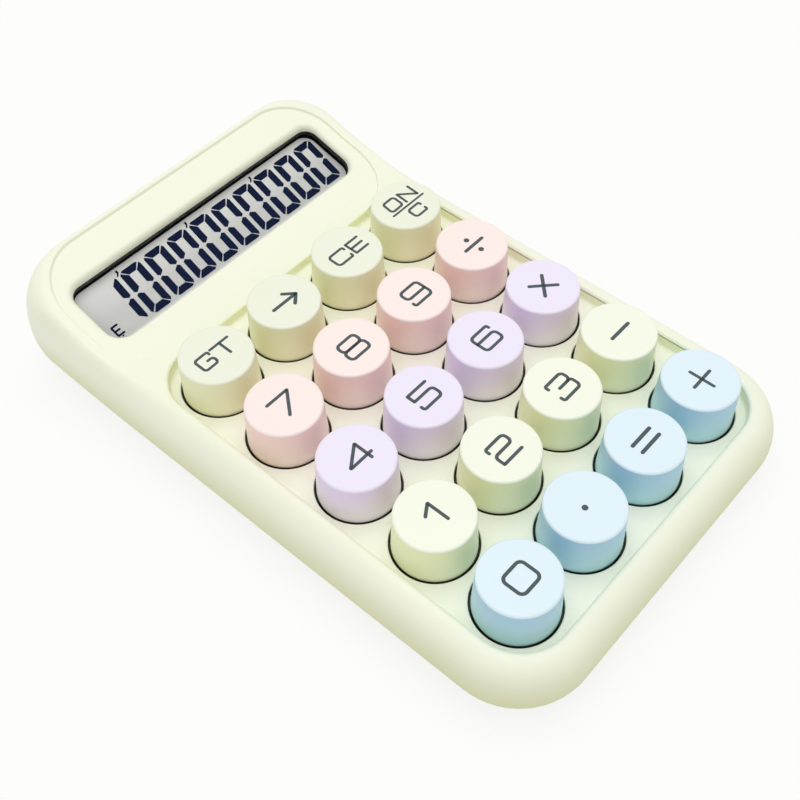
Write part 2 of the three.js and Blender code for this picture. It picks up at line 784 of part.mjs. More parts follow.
function lowerHousing(body) {
  const lipTop = partingHeight + wall;
  const lipOuter = wall + fitClearance;
  const lipInner = lipOuter + wall / 2;
  const hollow = ringLoft(bodySide, [
    { inset: plain(lipInner), height: (y) => baseBottom(y) + floorThickness },
    { inset: plain(lipInner), height: level(farOut) },
  ]);
  const aroundLip = ringLoft(bodySide, [
    { inset: plain(-overrun), height: level(-farOut) },
    { inset: plain(-overrun), height: level(farOut) },
  ]);
  const lipCore = ringLoft(bodySide, [
    { inset: plain(lipOuter), height: level(-farOut - overrun) },
    { inset: plain(lipOuter), height: level(farOut + overrun) },
  ]);
  const outsideLip = solid(aroundLip).subtract(solid(lipCore))
    .intersect(solid(aboveLevel(partingHeight - seatClearance)));
  const pads = [];
  const bores = [];
  for (const { x, y } of caseScrewPlaces) {
    const padTop = bossBottom - fitClearance;
    pads.push(roundBar(2 * bossRadius, 2 * bossRadius, baseBottom(y) + overrun, padTop, x, y));
    bores.push(roundBar(
      screwHeadRadius + fitClearance, screwHeadRadius + fitClearance, baseBottom(y) - overrun,
      screwSeat, x, y, 12,
    ));
    bores.push(roundBar(
      screwRadius + fitClearance, screwRadius + fitClearance, screwSeat - overrun, padTop + overrun, x, y, 10,
    ));
  }
  const channelRear = bodyRear + overrun;
  const channelBed = block(
    -doorHalfWidth - doorFlange - wall, doorHalfWidth + doorFlange + wall, doorFront - wall, bodyRear - wall,
    footProtrusion + floorThickness / 2, doorTop + doorFlangeThickness + fitClearance,
  );
  const tubRadius = cellRadius + cellRoom;
  let tray = cut(body, [aboveLevel(lipTop), hollow]).subtract(outsideLip);
  tray = joined(tray, [
    ...pads,
    inDeckFrame(channelBed),
    inDeckFrame(arch(tubRadius + tubWall, doorTop, tubHalfLength + tubWall)),
  ]);
  const cutters = [
    ...bores,
    inDeckFrame(arch(tubRadius, footProtrusion - overrun, tubHalfLength)),
    ...doorPlate(fitClearance, doorFront, channelRear).map(inDeckFrame),
  ];
  for (const { x, y } of footPlaces) {
    cutters.push(inDeckFrame(roundBar(
      footRadius + fitClearance, footRadius + fitClearance, footProtrusion - overrun,
      footProtrusion + footSink, x, y,
    )));
  }
  tray = cut(tray, cutters);
  return surface(tray);
}

// Battery door, cut to the curve of the body's rear edge
function batteryDoor(body) {
  const plates = doorPlate(0, doorFront, bodyRear + overrun).map((plate) => solid(inDeckFrame(plate)));
  const door = plates[0].add(plates[1]).intersect(body);
  const grips = [];
  for (let i = 0; i < gripCount; i += 1) {
    const y = doorFront + gripSetback + i * gripPitch;
    grips.push(inDeckFrame(block(
      -gripHalfWidth, gripHalfWidth, y, y + gripLength, footProtrusion - overrun, footProtrusion + gripDepth,
    )));
  }
  const geometry = surface(cut(door, grips));
  return geometry.applyMatrix4(deckMatrix);
}

// Rubber foot with a softened lower edge
function rubberFoot() {
  const top = footProtrusion + footSink - seatClearance;
  const profile = [
    [0, 0],
    [footRadius * footFaceShare, 0],
    [footRadius, footProtrusion / 2],
    [footRadius, top],
    [0, top],
  ].map(([radius, height]) => new THREE.Vector2(radius, height));
  return new THREE.LatheGeometry(profile, 14).rotateX(Math.PI / 2);
}

// Battery cell along X, with its positive nub
const cellStart = -tubHalfLength + contactThickness + springLength;
function batteryCell() {
  const profile = [
    [0, 0],
    [cellRadius, 0],
    [cellRadius, cellLength],
    [cellNubRadius, cellLength],
    [cellNubRadius, cellLength + cellNubLength],
    [0, cellLength + cellNubLength],
  ].map(([radius, height]) => new THREE.Vector2(radius, height));
  const cell = new THREE.LatheGeometry(profile, 14);
  return cell.rotateZ(-Math.PI / 2).translate(cellStart, 0, 0);
}

// Coiled spring against the negative end of the cell
function contactSpring() {
  const baseRadius = cellRadius * springBaseShare;
  const tipRadius = cellRadius * springTipShare;
  const length = springLength - contactThickness - 2 * fitClearance - springWire;
  class Coil extends THREE.Curve {
    getPoint(t, target = new THREE.Vector3()) {
      const turn = t * springTurns * 2 * Math.PI;
      const radius = baseRadius + (tipRadius - baseRadius) * t;
      return target.set(t * length, radius * Math.cos(turn), radius * Math.sin(turn));
    }
  }
  const section = new THREE.Shape();
  section.absarc(0, 0, springWire / 2, 0, 2 * Math.PI);
  const coil = new THREE.ExtrudeGeometry(section, {
    steps: 26,
    curveSegments: 3,
    extrudePath: new Coil(),
  });
  return coil.translate(-tubHalfLength + contactThickness + fitClearance + springWire, 0, 0);
}

function contactPlate() {
  const half = cellRadius * contactHalfShare;
  return block(-contactThickness / 2, contactThickness / 2, -half, half, -half, half);
}

// Assembly
const calculator = new THREE.Group();
const deckGroup = new THREE.Group();
deckGroup.applyMatrix4(deckMatrix);
const displayGroup = new THREE.Group();
displayGroup.applyMatrix4(displayMatrix);
const baseGroup = new THREE.Group();
deckGroup.add(displayGroup);
calculator.add(deckGroup, baseGroup);

function plastic(color, roughness = 0.5, metalness = 0) {
  return new THREE.MeshStandardMaterial({ color, roughness, metalness });
}

function place(group, name, geometry, material, x = 0, y = 0, z = 0) {
  const mesh = new THREE.Mesh(geometry, material);
  mesh.name = name;
  mesh.position.set(x, y, z);
  group.add(mesh);
}

const body = bodyForm();
place(deckGroup, 'upper_housing', upperHousing(body), plastic(creamShade));
place(deckGroup, 'lower_housing', lowerHousing(body), plastic(creamShade));

const rowShades = [greenCreamShade, pinkShade, lavenderShade, yellowShade, blueShade];
const cap = keyCap();
keyNames.forEach((names, row) => {
  names.forEach((name, column) => {
    place(deckGroup, `key_${name}`, cap, plastic(rowShades[row], 0.45), keyX(column), keyY(row));
  });
});

place(deckGroup, 'rubber_keypad', rubberKeypad(), plastic(rubberShade, 0.8));
place(deckGroup, 'circuit_board', circuitBoard(), plastic(boardShade, 0.5));
place(
  deckGroup, 'controller_chip', controllerChip(), plastic(resinShade, 0.5),
  cornerX(1), (cornerY(0) + boardRear) / 2, boardBottom,
);
place(deckGroup, 'display_cable', flexCable(), plastic(filmShade, 0.5));

place(displayGroup, 'display_bezel', displayBezel(), plastic(bezelShade, 0.5));
place(displayGroup, 'display_window', insetPlate(fitClearance, lensBottom, lensTop), plastic(lensShade, 0.05));
place(displayGroup, 'display_panel', insetPlate(fitClearance, lcdBottom, lcdTop), plastic(displayShade, 0.3));

const boardScrew = screw(boardScrewLength);
boardScrewPlaces.forEach(({ x, y }, i) => {
  const seat = boardBottom - seatClearance - screwHeadHeight;
  place(deckGroup, `board_screw_${i + 1}`, boardScrew, plastic(zincShade, 0.3, 1), x, y, seat);
});
const caseScrew = screw(caseScrewLength);
caseScrewPlaces.forEach(({ x, y }, i) => {
  const seat = screwSeat - screwHeadHeight - seatClearance;
  place(deckGroup, `case_screw_${i + 1}`, caseScrew, plastic(zincShade, 0.3, 1), x, y, seat);
});

place(baseGroup, 'battery_door', batteryDoor(body), plastic(creamShade));
place(baseGroup, 'battery_cell', batteryCell(), plastic(cellShade, 0.35, 0.4), 0, cellY, cellHeight);
place(baseGroup, 'battery_spring', contactSpring(), plastic(nickelShade, 0.25, 1), 0, cellY, cellHeight);
place(
  baseGroup, 'spring_contact', contactPlate(), plastic(nickelShade, 0.25, 1),
  -tubHalfLength + contactThickness / 2 + seatClearance, cellY, cellHeight,
);
place(
  baseGroup, 'plate_contact', contactPlate(), plastic(nickelShade, 0.25, 1),
  tubHalfLength - contactThickness / 2 - seatClearance, cellY, cellHeight,
);
const foot = rubberFoot();
footPlaces.forEach(({ x, y }, i) => {
  place(baseGroup, `rubber_foot_${i + 1}`, foot, plastic(footShade, 0.9), x, y);
});

// The origin is on the table, under the middle of the object's box
calculator.updateMatrixWorld(true);
const bounds = new THREE.Box3().setFromObject(calculator, true);
const middle = bounds.getCenter(new THREE.Vector3());
calculator.position.set(-middle.x, -middle.y, -bounds.min.z);
calculator.updateMatrixWorld(true);

export default calculator;
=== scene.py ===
# %% [markdown]
# # A pastel desktop calculator
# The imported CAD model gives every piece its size, its place and its joints. This lesson gives
# the visible pieces finer shapes and real finishes, on the same frame. All sizes below are in
# millimetres in the frame of the key deck, and each finished mesh is moved to metres at the end.

import math

import bmesh
import bpy
from mathutils import Matrix, Vector


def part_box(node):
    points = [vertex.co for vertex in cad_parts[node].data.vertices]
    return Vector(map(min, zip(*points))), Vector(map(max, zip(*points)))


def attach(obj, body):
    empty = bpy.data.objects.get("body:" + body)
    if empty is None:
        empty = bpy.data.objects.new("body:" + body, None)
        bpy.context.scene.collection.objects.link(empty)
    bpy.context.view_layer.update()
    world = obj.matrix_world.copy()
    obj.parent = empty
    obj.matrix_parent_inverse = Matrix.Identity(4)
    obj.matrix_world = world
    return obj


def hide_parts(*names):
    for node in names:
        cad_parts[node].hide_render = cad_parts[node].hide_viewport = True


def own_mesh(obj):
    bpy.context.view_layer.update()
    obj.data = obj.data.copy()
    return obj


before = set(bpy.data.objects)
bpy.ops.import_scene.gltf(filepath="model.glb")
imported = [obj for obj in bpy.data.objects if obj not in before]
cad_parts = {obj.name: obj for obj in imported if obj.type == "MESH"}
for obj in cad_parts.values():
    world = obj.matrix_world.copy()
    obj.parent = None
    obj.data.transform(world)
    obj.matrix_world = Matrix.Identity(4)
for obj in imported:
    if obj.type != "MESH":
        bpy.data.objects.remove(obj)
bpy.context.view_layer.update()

# %% Sizes in millimetres
MM = 0.001
WEDGE = math.radians(2)
DECK_HEIGHT = 14.2
KEY_PITCH = 19.0
BODY_HALF_WIDTH = 44.8
BODY_FRONT = -54.6
BODY_REAR = 87.6
FRONT_CORNER = 15.5
REAR_CORNER = 8.0
WALL = 2.2
DECK_THICKNESS = 1.6
RIM_HEIGHT = 3.0
CROWN_WIDTH = 5.15
CROWN_REAR_SHARE = 0.6
CROWN_REAR_TRIM = 0.3
CROWN_CORNER_PULL = 9.3
CROWN_NARROWS = (45, 70)
CROWN_STEPS = 14
WAIST_SHARE = 0.45
BASE_EDGE = 5.0
BASE_HEIGHT = 1.0
PARTING_HEIGHT = 4.0
PARTING_GAP = 0.05
PARTING_EDGE = 0.35
FOOT_INSET = 5.2
REAR_FOOT_SETBACK = 14.0
RECESS_HALF_WIDTH = 38.8
RECESS_REAR = 48.6
RECESS_CORNER = 9.9
PANEL_DEPTH = 0.65
DISPLAY_DROP = 1.0
PANEL_HALF_WIDTH = 39.9
PANEL_REAR = 84.3
PANEL_FRONT_CORNER = 15.8
PANEL_REAR_CORNER = 12.0
PANEL_TIP_OVERLAP = 0.5
BEND_START = 51.5
BEND_RADIUS = 60.0
BEND_SLOPE = math.radians(20)
WINDOW_HALF_WIDTH = 36.4
WINDOW_FRONT = 61.5
WINDOW_REAR = 76.4
WINDOW_CORNER = 3.2
WINDOW_EDGE = 1.3
WINDOW_FRONT_REACH = 0.8
POCKET_REACH = 3.1
KEY_HOLE = 8.6
KEY_HOLE_EDGE = 0.25
INNER_TOP_INSET = 5.6
INNER_BEND_INSET = 0.6
INNER_BEND_DROP = 4.0
EDGE_STEPS = 5
FILLET_STEPS = 3
FILLET = 0.35
ARC_STEPS = 14
SIDE_STEP = 2.0

# %% [markdown]
# The key deck leans towards the user, and the display end bends up behind it. One function
# gives the rise of the bend at each place along the deck. Everything that follows the bend
# asks this function for its height, so that the surfaces fit each other.

# %% Heights along the body
def smoothstep(value, low, high):
    share = min(max((value - low) / (high - low), 0.0), 1.0)
    return share * share * (3 - 2 * share)


def bend_rise(y):
    run = y - BEND_START
    arc_run = BEND_RADIUS * math.sin(BEND_SLOPE)
    if run <= 0:
        return 0.0
    if run < arc_run:
        return BEND_RADIUS - math.sqrt(BEND_RADIUS ** 2 - run ** 2)
    return BEND_RADIUS * (1 - math.cos(BEND_SLOPE)) + (run - arc_run) * math.tan(BEND_SLOPE)


def rim_top(y):
    return RIM_HEIGHT + bend_rise(y)


def panel_top(y):
    return RIM_HEIGHT - PANEL_DEPTH + bend_rise(y)


def display_level(y):
    return RIM_HEIGHT - DISPLAY_DROP + bend_rise(y)


def ceiling(y):
    return bend_rise(y) - DECK_THICKNESS


def level(height):
    """Deck height, as a function of y, of a plane that is level above the table."""
    return lambda y: (height - DECK_HEIGHT) / math.cos(WEDGE) - y * math.tan(WEDGE)


base_bottom = level(BASE_HEIGHT)


def waist(y):
    """Height of the widest place of the side."""
    return base_bottom(y) + WAIST_SHARE * (rim_top(y) - base_bottom(y))


low_foot, high_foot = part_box("rubber_foot_1")
FOOT_X = BODY_HALF_WIDTH - BASE_EDGE - FOOT_INSET
FRONT_FOOT_Y = BODY_FRONT + FRONT_CORNER
REAR_FOOT_Y = BODY_REAR - REAR_FOOT_SETBACK
base_shift = (low_foot[1] + high_foot[1]) / 2 / MM - FRONT_FOOT_Y
BASE = Matrix.Translation((0, base_shift, 0))
TILT = Matrix.Translation((0, 0, DECK_HEIGHT)) @ Matrix.Rotation(WEDGE, 4, "X")
LEVEL = TILT.inverted()
DECK = BASE @ TILT

window_rise = display_level(WINDOW_REAR) - display_level(WINDOW_FRONT)
display_slope = math.atan2(window_rise, WINDOW_REAR - WINDOW_FRONT)
WINDOW_HALF_LENGTH = math.hypot(window_rise, WINDOW_REAR - WINDOW_FRONT) / 2
window_height = (display_level(WINDOW_FRONT) + display_level(WINDOW_REAR)) / 2
DISPLAY_IN_DECK = Matrix.Translation((
    0,
    (WINDOW_FRONT + WINDOW_REAR) / 2 + WINDOW_EDGE * math.sin(display_slope),
    window_height - WINDOW_EDGE * math.cos(display_slope),
)) @ Matrix.Rotation(display_slope, 4, "X")
DISPLAY = DECK @ DISPLAY_IN_DECK
print("base shift", round(base_shift, 3), "mm")
print("display slope", round(math.degrees(display_slope), 2), "degrees")

# %% [markdown]
# A moulded housing is a family of rounded outlines at different heights. An outline here is a
# list of points, each with its outward direction, so that a fillet can be made by moving the
# points outwards as the height changes.

# %% Outlines
def arc(centre_x, centre_y, radius, start, end, steps=ARC_STEPS):
    turns = [math.radians(start + (end - start) * i / steps) for i in range(steps + 1)]
    return [(centre_x + radius * math.cos(t), centre_y + radius * math.sin(t),
             math.cos(t), math.sin(t)) for t in turns]


def straight(a, b):
    """Points between two ends of a straight side, without the ends."""
    run_x, run_y = b[0] - a[0], b[1] - a[1]
    length = math.hypot(run_x, run_y)
    count = max(1, round(length / SIDE_STEP))
    return [(a[0] + run_x * i / count, a[1] + run_y * i / count, run_y / length, -run_x / length)
            for i in range(1, count)]


def chained(*runs):
    """Runs of points joined by straight sides."""
    points = list(runs[0])
    for run in runs[1:]:
        points += straight(points[-1], run[0]) + list(run)
    return points


def rounded_outline(half_width, front, rear, front_radius, rear_radius):
    front_y, rear_y = front + front_radius, rear - rear_radius
    front_x, rear_x = half_width - front_radius, half_width - rear_radius
    points = chained(
        arc(front_x, front_y, front_radius, -90, 0),
        arc(rear_x, rear_y, rear_radius, 0, 90),
        arc(-rear_x, rear_y, rear_radius, 90, 180),
        arc(-front_x, front_y, front_radius, 180, 270),
    )
    return points + straight(points[-1], points[0])


def circle(x, y, radius, steps=64):
    return arc(x, y, radius, 0, 360, steps)[:-1]


def row(outline, outset, height):
    """Places of one row: the outset may depend on the point, and the height on its y."""
    places = []
    for point in outline:
        reach = outset(point) if callable(outset) else outset
        y = point[1] + point[3] * reach
        places.append(Vector((point[0] + point[2] * reach, y,
                              height(y) if callable(height) else height)))
    return places


# %% [markdown]
# The meshes are made with bmesh operators. A wall is lofted: one loop of edges is extruded from
# row to row, which gives even quads, where a shape cut from blocks would get long triangles.

# %% Mesh helpers
NEAR = 0.01
SHARP_ANGLE = math.radians(40)
EVEN_WEIGHT = 80


def verts_in(geom):
    return [item for item in geom if isinstance(item, bmesh.types.BMVert)]


def loft(bm, rows, closed=True):
    """Starts a loop of edges, and extrudes it from one row of places to the next."""
    verts = bmesh.ops.create_circle(bm, segments=len(rows[0]))["verts"]
    ring, used = [verts[0]], {verts[0]}
    while len(ring) < len(rows[0]):
        ring.append(next(edge.other_vert(ring[-1]) for edge in ring[-1].link_edges
                         if edge.other_vert(ring[-1]) not in used))
        used.add(ring[-1])
    if not closed:
        bm.edges.remove(bm.edges.get((ring[-1], ring[0])))
    for index, places in enumerate(rows):
        if index:
            ends = ring[1:] + ring[:1] if closed else ring[1:]
            edges = [bm.edges.get(pair) for pair in zip(ring, ends)]
            made = bmesh.ops.extrude_edge_only(bm, edges=edges)["geom"]
            fresh = set(verts_in(made))
            ring = [next(edge.other_vert(vert) for edge in vert.link_edges
                         if edge.other_vert(vert) in fresh) for vert in ring]
        for vert, place in zip(ring, places):
            vert.co = place


def merge(bm, distance=0.0005):
    bmesh.ops.remove_doubles(bm, verts=bm.verts, dist=distance)


def open_edges(bm):
    return [edge for edge in bm.edges if edge.is_boundary]


def close_holes(bm):
    bmesh.ops.holes_fill(bm, edges=open_edges(bm))


def fill_level(bm, height):
    """Fills the open edges that lie on one surface, and bends the new faces to follow it."""
    edges = [edge for edge in open_edges(bm)
             if all(abs(vert.co.z - height(vert.co.y)) < NEAR for vert in edge.verts)]
    made = bmesh.ops.triangle_fill(bm, use_beauty=True, edges=edges, normal=(0, 0, 1))["geom"]
    faces = [item for item in made if isinstance(item, bmesh.types.BMFace)]
    geom = list(faces)
    geom += {edge for face in faces for edge in face.edges}
    geom += {vert for face in faces for vert in face.verts}
    top = max(vert.co.y for face in faces for vert in face.verts)
    y = BEND_START
    while y < top:
        cut = bmesh.ops.bisect_plane(bm, geom=geom, plane_co=(0, y, 0), plane_no=(0, 1, 0))
        geom = cut["geom"]
        y += SIDE_STEP
    for vert in verts_in(geom):
        vert.co.z = height(vert.co.y)
    return len(edges)


def prism(bm, places, reach):
    """A face with the given corners, extruded into a solid by one step."""
    face = bm.faces.new([bm.verts.new(place) for place in places])
    made = bmesh.ops.extrude_face_region(bm, geom=[face], use_keep_orig=True)["geom"]
    bmesh.ops.translate(bm, verts=verts_in(made), vec=reach)


def turned(bm, profile, steps=96):
    """Spins a profile of (radius, height) points round the upright axis."""
    verts = [bm.verts.new((radius, 0, height)) for radius, height in profile]
    edges = [bm.edges.new(pair) for pair in zip(verts, verts[1:])]
    bmesh.ops.spin(bm, geom=verts + edges, cent=(0, 0, 0), axis=(0, 0, 1),
                   angle=2 * math.pi, steps=steps, use_merge=True)
    merge(bm, 0.0001)


def quarter(steps):
    """Sine and cosine pairs from 0 to 90 degrees."""
    turns = [math.pi / 2 * i / steps for i in range(steps + 1)]
    return [(math.sin(turn), math.cos(turn)) for turn in turns]


def in_scene(name, data):
    """A new object with this data, linked to the scene."""
    item = bpy.data.objects.new(name, data)
    bpy.context.scene.collection.objects.link(item)
    return item


def to_object(bm, name):
    """Writes a bmesh into a new object, and frees it."""
    mesh = bpy.data.meshes.new(name)
    bm.to_mesh(mesh)
    bm.free()
    return in_scene(name, mesh)


def make_piece(bm, name, place, finish, body="case", stands_for=None):
    """Turns a finished bmesh into a piece of the calculator."""
    bmesh.ops.recalc_face_normals(bm, faces=bm.faces)
    bmesh.ops.transform(bm, matrix=Matrix.Scale(MM, 4) @ place, verts=bm.verts)
    piece = to_object(bm, name)
    mesh = piece.data
    mesh.shade_smooth()
    mesh.set_sharp_from_angle(angle=SHARP_ANGLE)
    mesh.materials.append(finish)
    even = piece.modifiers.new("Even normals", "WEIGHTED_NORMAL")
    even.keep_sharp = True
    even.weight = EVEN_WEIGHT
    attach(piece, body)
    if stands_for:
        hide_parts(stands_for)
    print(name, len(mesh.polygons), "faces")
    return piece


# %% [markdown]
# Shader maths reads best as plain arithmetic. The small class below wraps a socket, so that an
# expression such as 1 - mask adds its own Math node.

# %% A wrapped socket and a finish
class Value:
    def __init__(self, tree, socket):
        self.tree = tree
        self.socket = socket

    def _math(self, operation, first, second):
        return add_node(self.tree, "ShaderNodeMath", {"operation": operation},
                        {0: first, 1: second})

    def __add__(self, other):
        return self._math("ADD", self, other)

    __radd__ = __add__

    def __sub__(self, other):
        return self._math("SUBTRACT", self, other)

    def __rsub__(self, other):
        return self._math("SUBTRACT", other, self)

    def __mul__(self, other):
        return self._math("MULTIPLY", self, other)

    __rmul__ = __mul__

    def __truediv__(self, other):
        return self._math("DIVIDE", self, other)

    def __rtruediv__(self, other):
        return self._math("DIVIDE", other, self)


def feed(tree, target, value):
    """Links a wrapped socket to a target socket, or writes a plain value into it."""
    if isinstance(value, Value):
        tree.links.new(value.socket, target)
    else:
        target.default_value = value


def add_node(tree, kind, settings=None, inputs=None, output=0):
    """Adds any node: its settings come first, then the values or links of its sockets."""
    node = tree.nodes.new(kind)
    for name, value in (settings or {}).items():
        setattr(node, name, value)
    for name, value in (inputs or {}).items():
        feed(tree, node.inputs[name], value)
    return Value(tree, node.outputs[output])


def seen_rays(tree):
    """One for the rays that show a background, and nought for the rays that light the object."""
    rays = [add_node(tree, "ShaderNodeLightPath", output=name)
            for name in ("Is Camera Ray", "Is Glossy Ray", "Is Transmission Ray")]
    return add_node(tree, "ShaderNodeClamp", None, {"Value": rays[0] + rays[1] + rays[2]})


class Finish:
    def __init__(self, name, roughness=0.5, metallic=0.0, **fixed):
        self.material = bpy.data.materials.new(name)
        self.material.use_nodes = True
        self.tree = self.material.node_tree
        self.shader = self.tree.nodes["Principled BSDF"]
        self.set("Roughness", roughness)
        self.set("Metallic", metallic)
        for socket, value in fixed.items():
            self.set(socket.replace("_", " "), value)
        self.place = self.node("ShaderNodeTexCoord", output="Object")

    def set(self, socket, value):
        feed(self.tree, self.shader.inputs[socket], value)

    def node(self, kind, settings=None, inputs=None, output=0):
        return add_node(self.tree, kind, settings, inputs, output)

    def noise(self, scale, detail=2.0):
        return self.node("ShaderNodeTexNoise", None,
                         {"Vector": self.place, "Scale": scale, "Detail": detail})

    def blend(self, mask, first, second):
        return self.node("ShaderNodeMix", {"data_type": "RGBA"},
                         {0: mask, 6: first, 7: second}, output=2)

    def clamped(self, value):
        return self.node("ShaderNodeClamp", None, {"Value": value})

    def ramp(self, value, start, end):
        """Nought where the value has not reached the start, and one from the end onwards."""
        return self.clamped((value - start) / (end - start))

    def vary(self, mask, hex_code, dark, light, low_roughness, spread):
        """Lets the base colour and the roughness follow a mask."""
        self.set("Base Color", self.blend(mask, colour(hex_code, dark), colour(hex_code, light)))
        self.set("Roughness", mask * spread + low_roughness)

    def place_on_table(self):
        """Place in millimetres, with the height above the table."""
        return [self.node("ShaderNodeSeparateXYZ", None, {"Vector": self.place}, output=axis) / MM
                for axis in "XYZ"]

    def place_on_deck(self):
        """Place across, along and above the tilted key deck, in millimetres."""
        x, y, z = self.place_on_table()
        y, z = y - base_shift, z - DECK_HEIGHT
        return (x, y * math.cos(WEDGE) + z * math.sin(WEDGE),
                z * math.cos(WEDGE) - y * math.sin(WEDGE))

    def bump(self, height, strength, distance):
        self.set("Normal", self.node("ShaderNodeBump", None,
                                     {"Height": height, "Strength": strength,
                                      "Distance": distance}))


def colour(hex_code, shade=1.0):
    """Linear colour of a written sRGB colour, made lighter or darker by a factor."""
    parts = [int(hex_code[i:i + 2], 16) / 255 for i in (0, 2, 4)]
    linear = [((p + 0.055) / 1.055) ** 2.4 if p > 0.04045 else p / 12.92 for p in parts]
    return tuple(min(1.0, p * shade) for p in linear) + (1.0,)


# %% [markdown]
# The housing and the keys are moulded ABS with a fine spark-eroded grain. The grain is a bump of
# a few hundredths of a millimetre. The tone drifts very slightly over a moulding, and the
# roughness varies a little with handling, which keeps the highlights from looking computed.
# Light that passes between the keys is coloured by all the pastel around it, and this light and
# shade are painted into the colours. The sides of a key get painted shade, a deeper tone than its
# top, with painted bounce light near the deck. Below the deck a near-black painted shadow keeps the
# gap round each key black. The housing gets a darker, yellower painted shade towards its base and
# on the wall of the recess, and painted light on the floor of the recess.

# %% Zones of painted shade and painted light on the mouldings
# Each pair holds the ends of one ramp between two tones, most of them painted shade or painted
# light: heights in millimetres, except for the outline of the recess, which is a share of its half
# sizes
# Painted shade on the keys: a near-black painted shadow below the deck, and painted shade on the
# sides up to the shoulder
PAINTED_SHADOW_BELOW_DECK = (-0.4, -0.1)
PAINTED_SHADE_ON_KEY_SIDES = (0.0, 8.5)
KEY_SHOULDER = (9.0, 9.25)
PAINTED_SHADOW_UNDER_DECK_TONE = "24251f"
# Painted shade on the housing towards its base, and painted light and shade in the recess
PAINTED_SHADE_TOWARDS_BASE = (15.0, 5.0)
PAINTED_SHADE_ENDS_ABOVE_BOTTOM = (1.1, 3.1)
RECESS_OUTLINE = (1.35, 1.25)
RECESS_FLOOR = (-0.3, -0.1)
RECESS_WALL = (0.2, 0.5)
RECESS_EDGE = (2.3, 2.0)


# Painted shade on a key: sides darker than the top, lighter near the deck as painted bounce light,
# and near black below the deck as painted shadow
def key_tone_with_painted_shade(finish, tone, high, low):
    height = finish.place_on_deck()[2]
    side = finish.blend(finish.ramp(height, *PAINTED_SHADE_ON_KEY_SIDES), colour(low), colour(high))
    tone = finish.blend(finish.ramp(height, *KEY_SHOULDER), side, tone)
    return finish.blend(finish.ramp(height, *PAINTED_SHADOW_BELOW_DECK), colour(PAINTED_SHADOW_UNDER_DECK_TONE), tone)


def housing_tone_with_painted_shade(finish, tone, base, wall, deck):
    x, y, height = finish.place_on_deck()
    over_table = finish.place_on_table()[2]
    # Painted shade: a darker, yellower tone towards the base, ending just above the bottom face
    side = finish.ramp(over_table, *PAINTED_SHADE_TOWARDS_BASE) * finish.ramp(over_table, *PAINTED_SHADE_ENDS_ABOVE_BOTTOM)
    tone = finish.blend(side, tone, colour(base))
    # Painted light on the floor of the recess, and a yellower painted shade on its wall
    # The eighth powers give the mask an outline with rounded corners, like that of the recess
    across, along = x / RECESS_HALF_WIDTH, y / RECESS_REAR
    for _ in range(3):
        across, along = across * across, along * along
    inside = finish.ramp(across + along, *RECESS_OUTLINE)
    levels = finish.ramp(height, *RECESS_EDGE) * finish.ramp(height, *RECESS_FLOOR)
    floor_or_wall = finish.blend(finish.ramp(height, *RECESS_WALL), colour(deck), colour(wall))
    return finish.blend(inside * levels, tone, floor_or_wall)


# %% Moulded plastics
KEY_ROUGHNESS = 0.42
HANDLING = 0.12


def moulded(name, hex_code, roughness, painted_shading, *painted_tones):
    finish = Finish(name, roughness, IOR=1.5)
    drift = finish.noise(scale=18, detail=3.0)
    tone = finish.blend(drift, colour(hex_code, 0.965), colour(hex_code, 1.02))
    # The painted shade and painted light of each moulding are laid over its drifting tone here
    finish.set("Base Color", painted_shading(finish, tone, *painted_tones))
    handled = finish.noise(scale=90, detail=4.0) * HANDLING
    finish.set("Roughness", handled + (roughness - HANDLING / 2))
    finish.bump(finish.noise(scale=2600), strength=0.12, distance=0.00004)
    return finish.material


# The three painted tones of the housing: shade towards the base, yellower shade on the recess wall,
# and light on the recess floor
HOUSING = moulded("cream housing plastic", "f4f7e4", 0.46, housing_tone_with_painted_shade,
                  "d6d9a4", "f5f8d2", "fafced")
# Each row of keys: the tone of its tops, the painted shade of its sides near the top, and the
# painted bounce light on its sides near the deck
ROW_TONES_AND_PAINTED_SHADE = {
    "green-cream": ("eff3e0", "edefc6", "faf9d6"),
    "pink": ("fdede9", "fad9d3", "fbe8df"),
    "lavender": ("f0e9fc", "e8d8f8", "f6f0fa"),
    "yellow": ("f5f9e8", "f1f4c6", "f8fad8"),
    "blue": ("e0f2fc", "acd3ec", "c4ecf6"),
}
ROW_FINISHES = [
    ("key_" + name.replace("-", "_"),
     moulded(name + " key plastic", top, KEY_ROUGHNESS, key_tone_with_painted_shade, high, low))
    for name, (top, high, low) in ROW_TONES_AND_PAINTED_SHADE.items()
]


# %% Ink, display, rubber, metal and board
def ink(name, hex_code, roughness, shine=0.3):
    finish = Finish(name, roughness, Specular_IOR_Level=shine)
    patches = finish.noise(scale=1500, detail=3.0)
    finish.vary(patches, hex_code, 0.85, 1.2, low_roughness=roughness - 0.07, spread=0.15)
    return finish.material


def rubber(name, hex_code):
    finish = Finish(name, 0.8)
    dust = finish.noise(scale=400, detail=4.0)
    finish.vary(dust, hex_code, 0.9, 1.0, low_roughness=0.72, spread=0.15)
    finish.bump(finish.noise(scale=1800, detail=3.0), strength=0.2, distance=0.00005)
    return finish.material


def metal(name, hex_code, roughness):
    finish = Finish(name, roughness, metallic=1.0)
    finish.place = finish.node("ShaderNodeMapping", None,
                               {"Vector": finish.place, "Scale": (4000.0, 300.0, 300.0)})
    grain = finish.noise(scale=1.0, detail=3.0)
    finish.vary(grain, hex_code, 0.85, 1.0, low_roughness=roughness - 0.1, spread=0.2)
    return finish.material


def glossy(name, hex_code, roughness):
    finish = Finish(name, roughness)
    drift = finish.noise(scale=60, detail=3.0)
    finish.vary(drift, hex_code, 0.94, 1.06, low_roughness=roughness - 0.05, spread=0.1)
    return finish.material


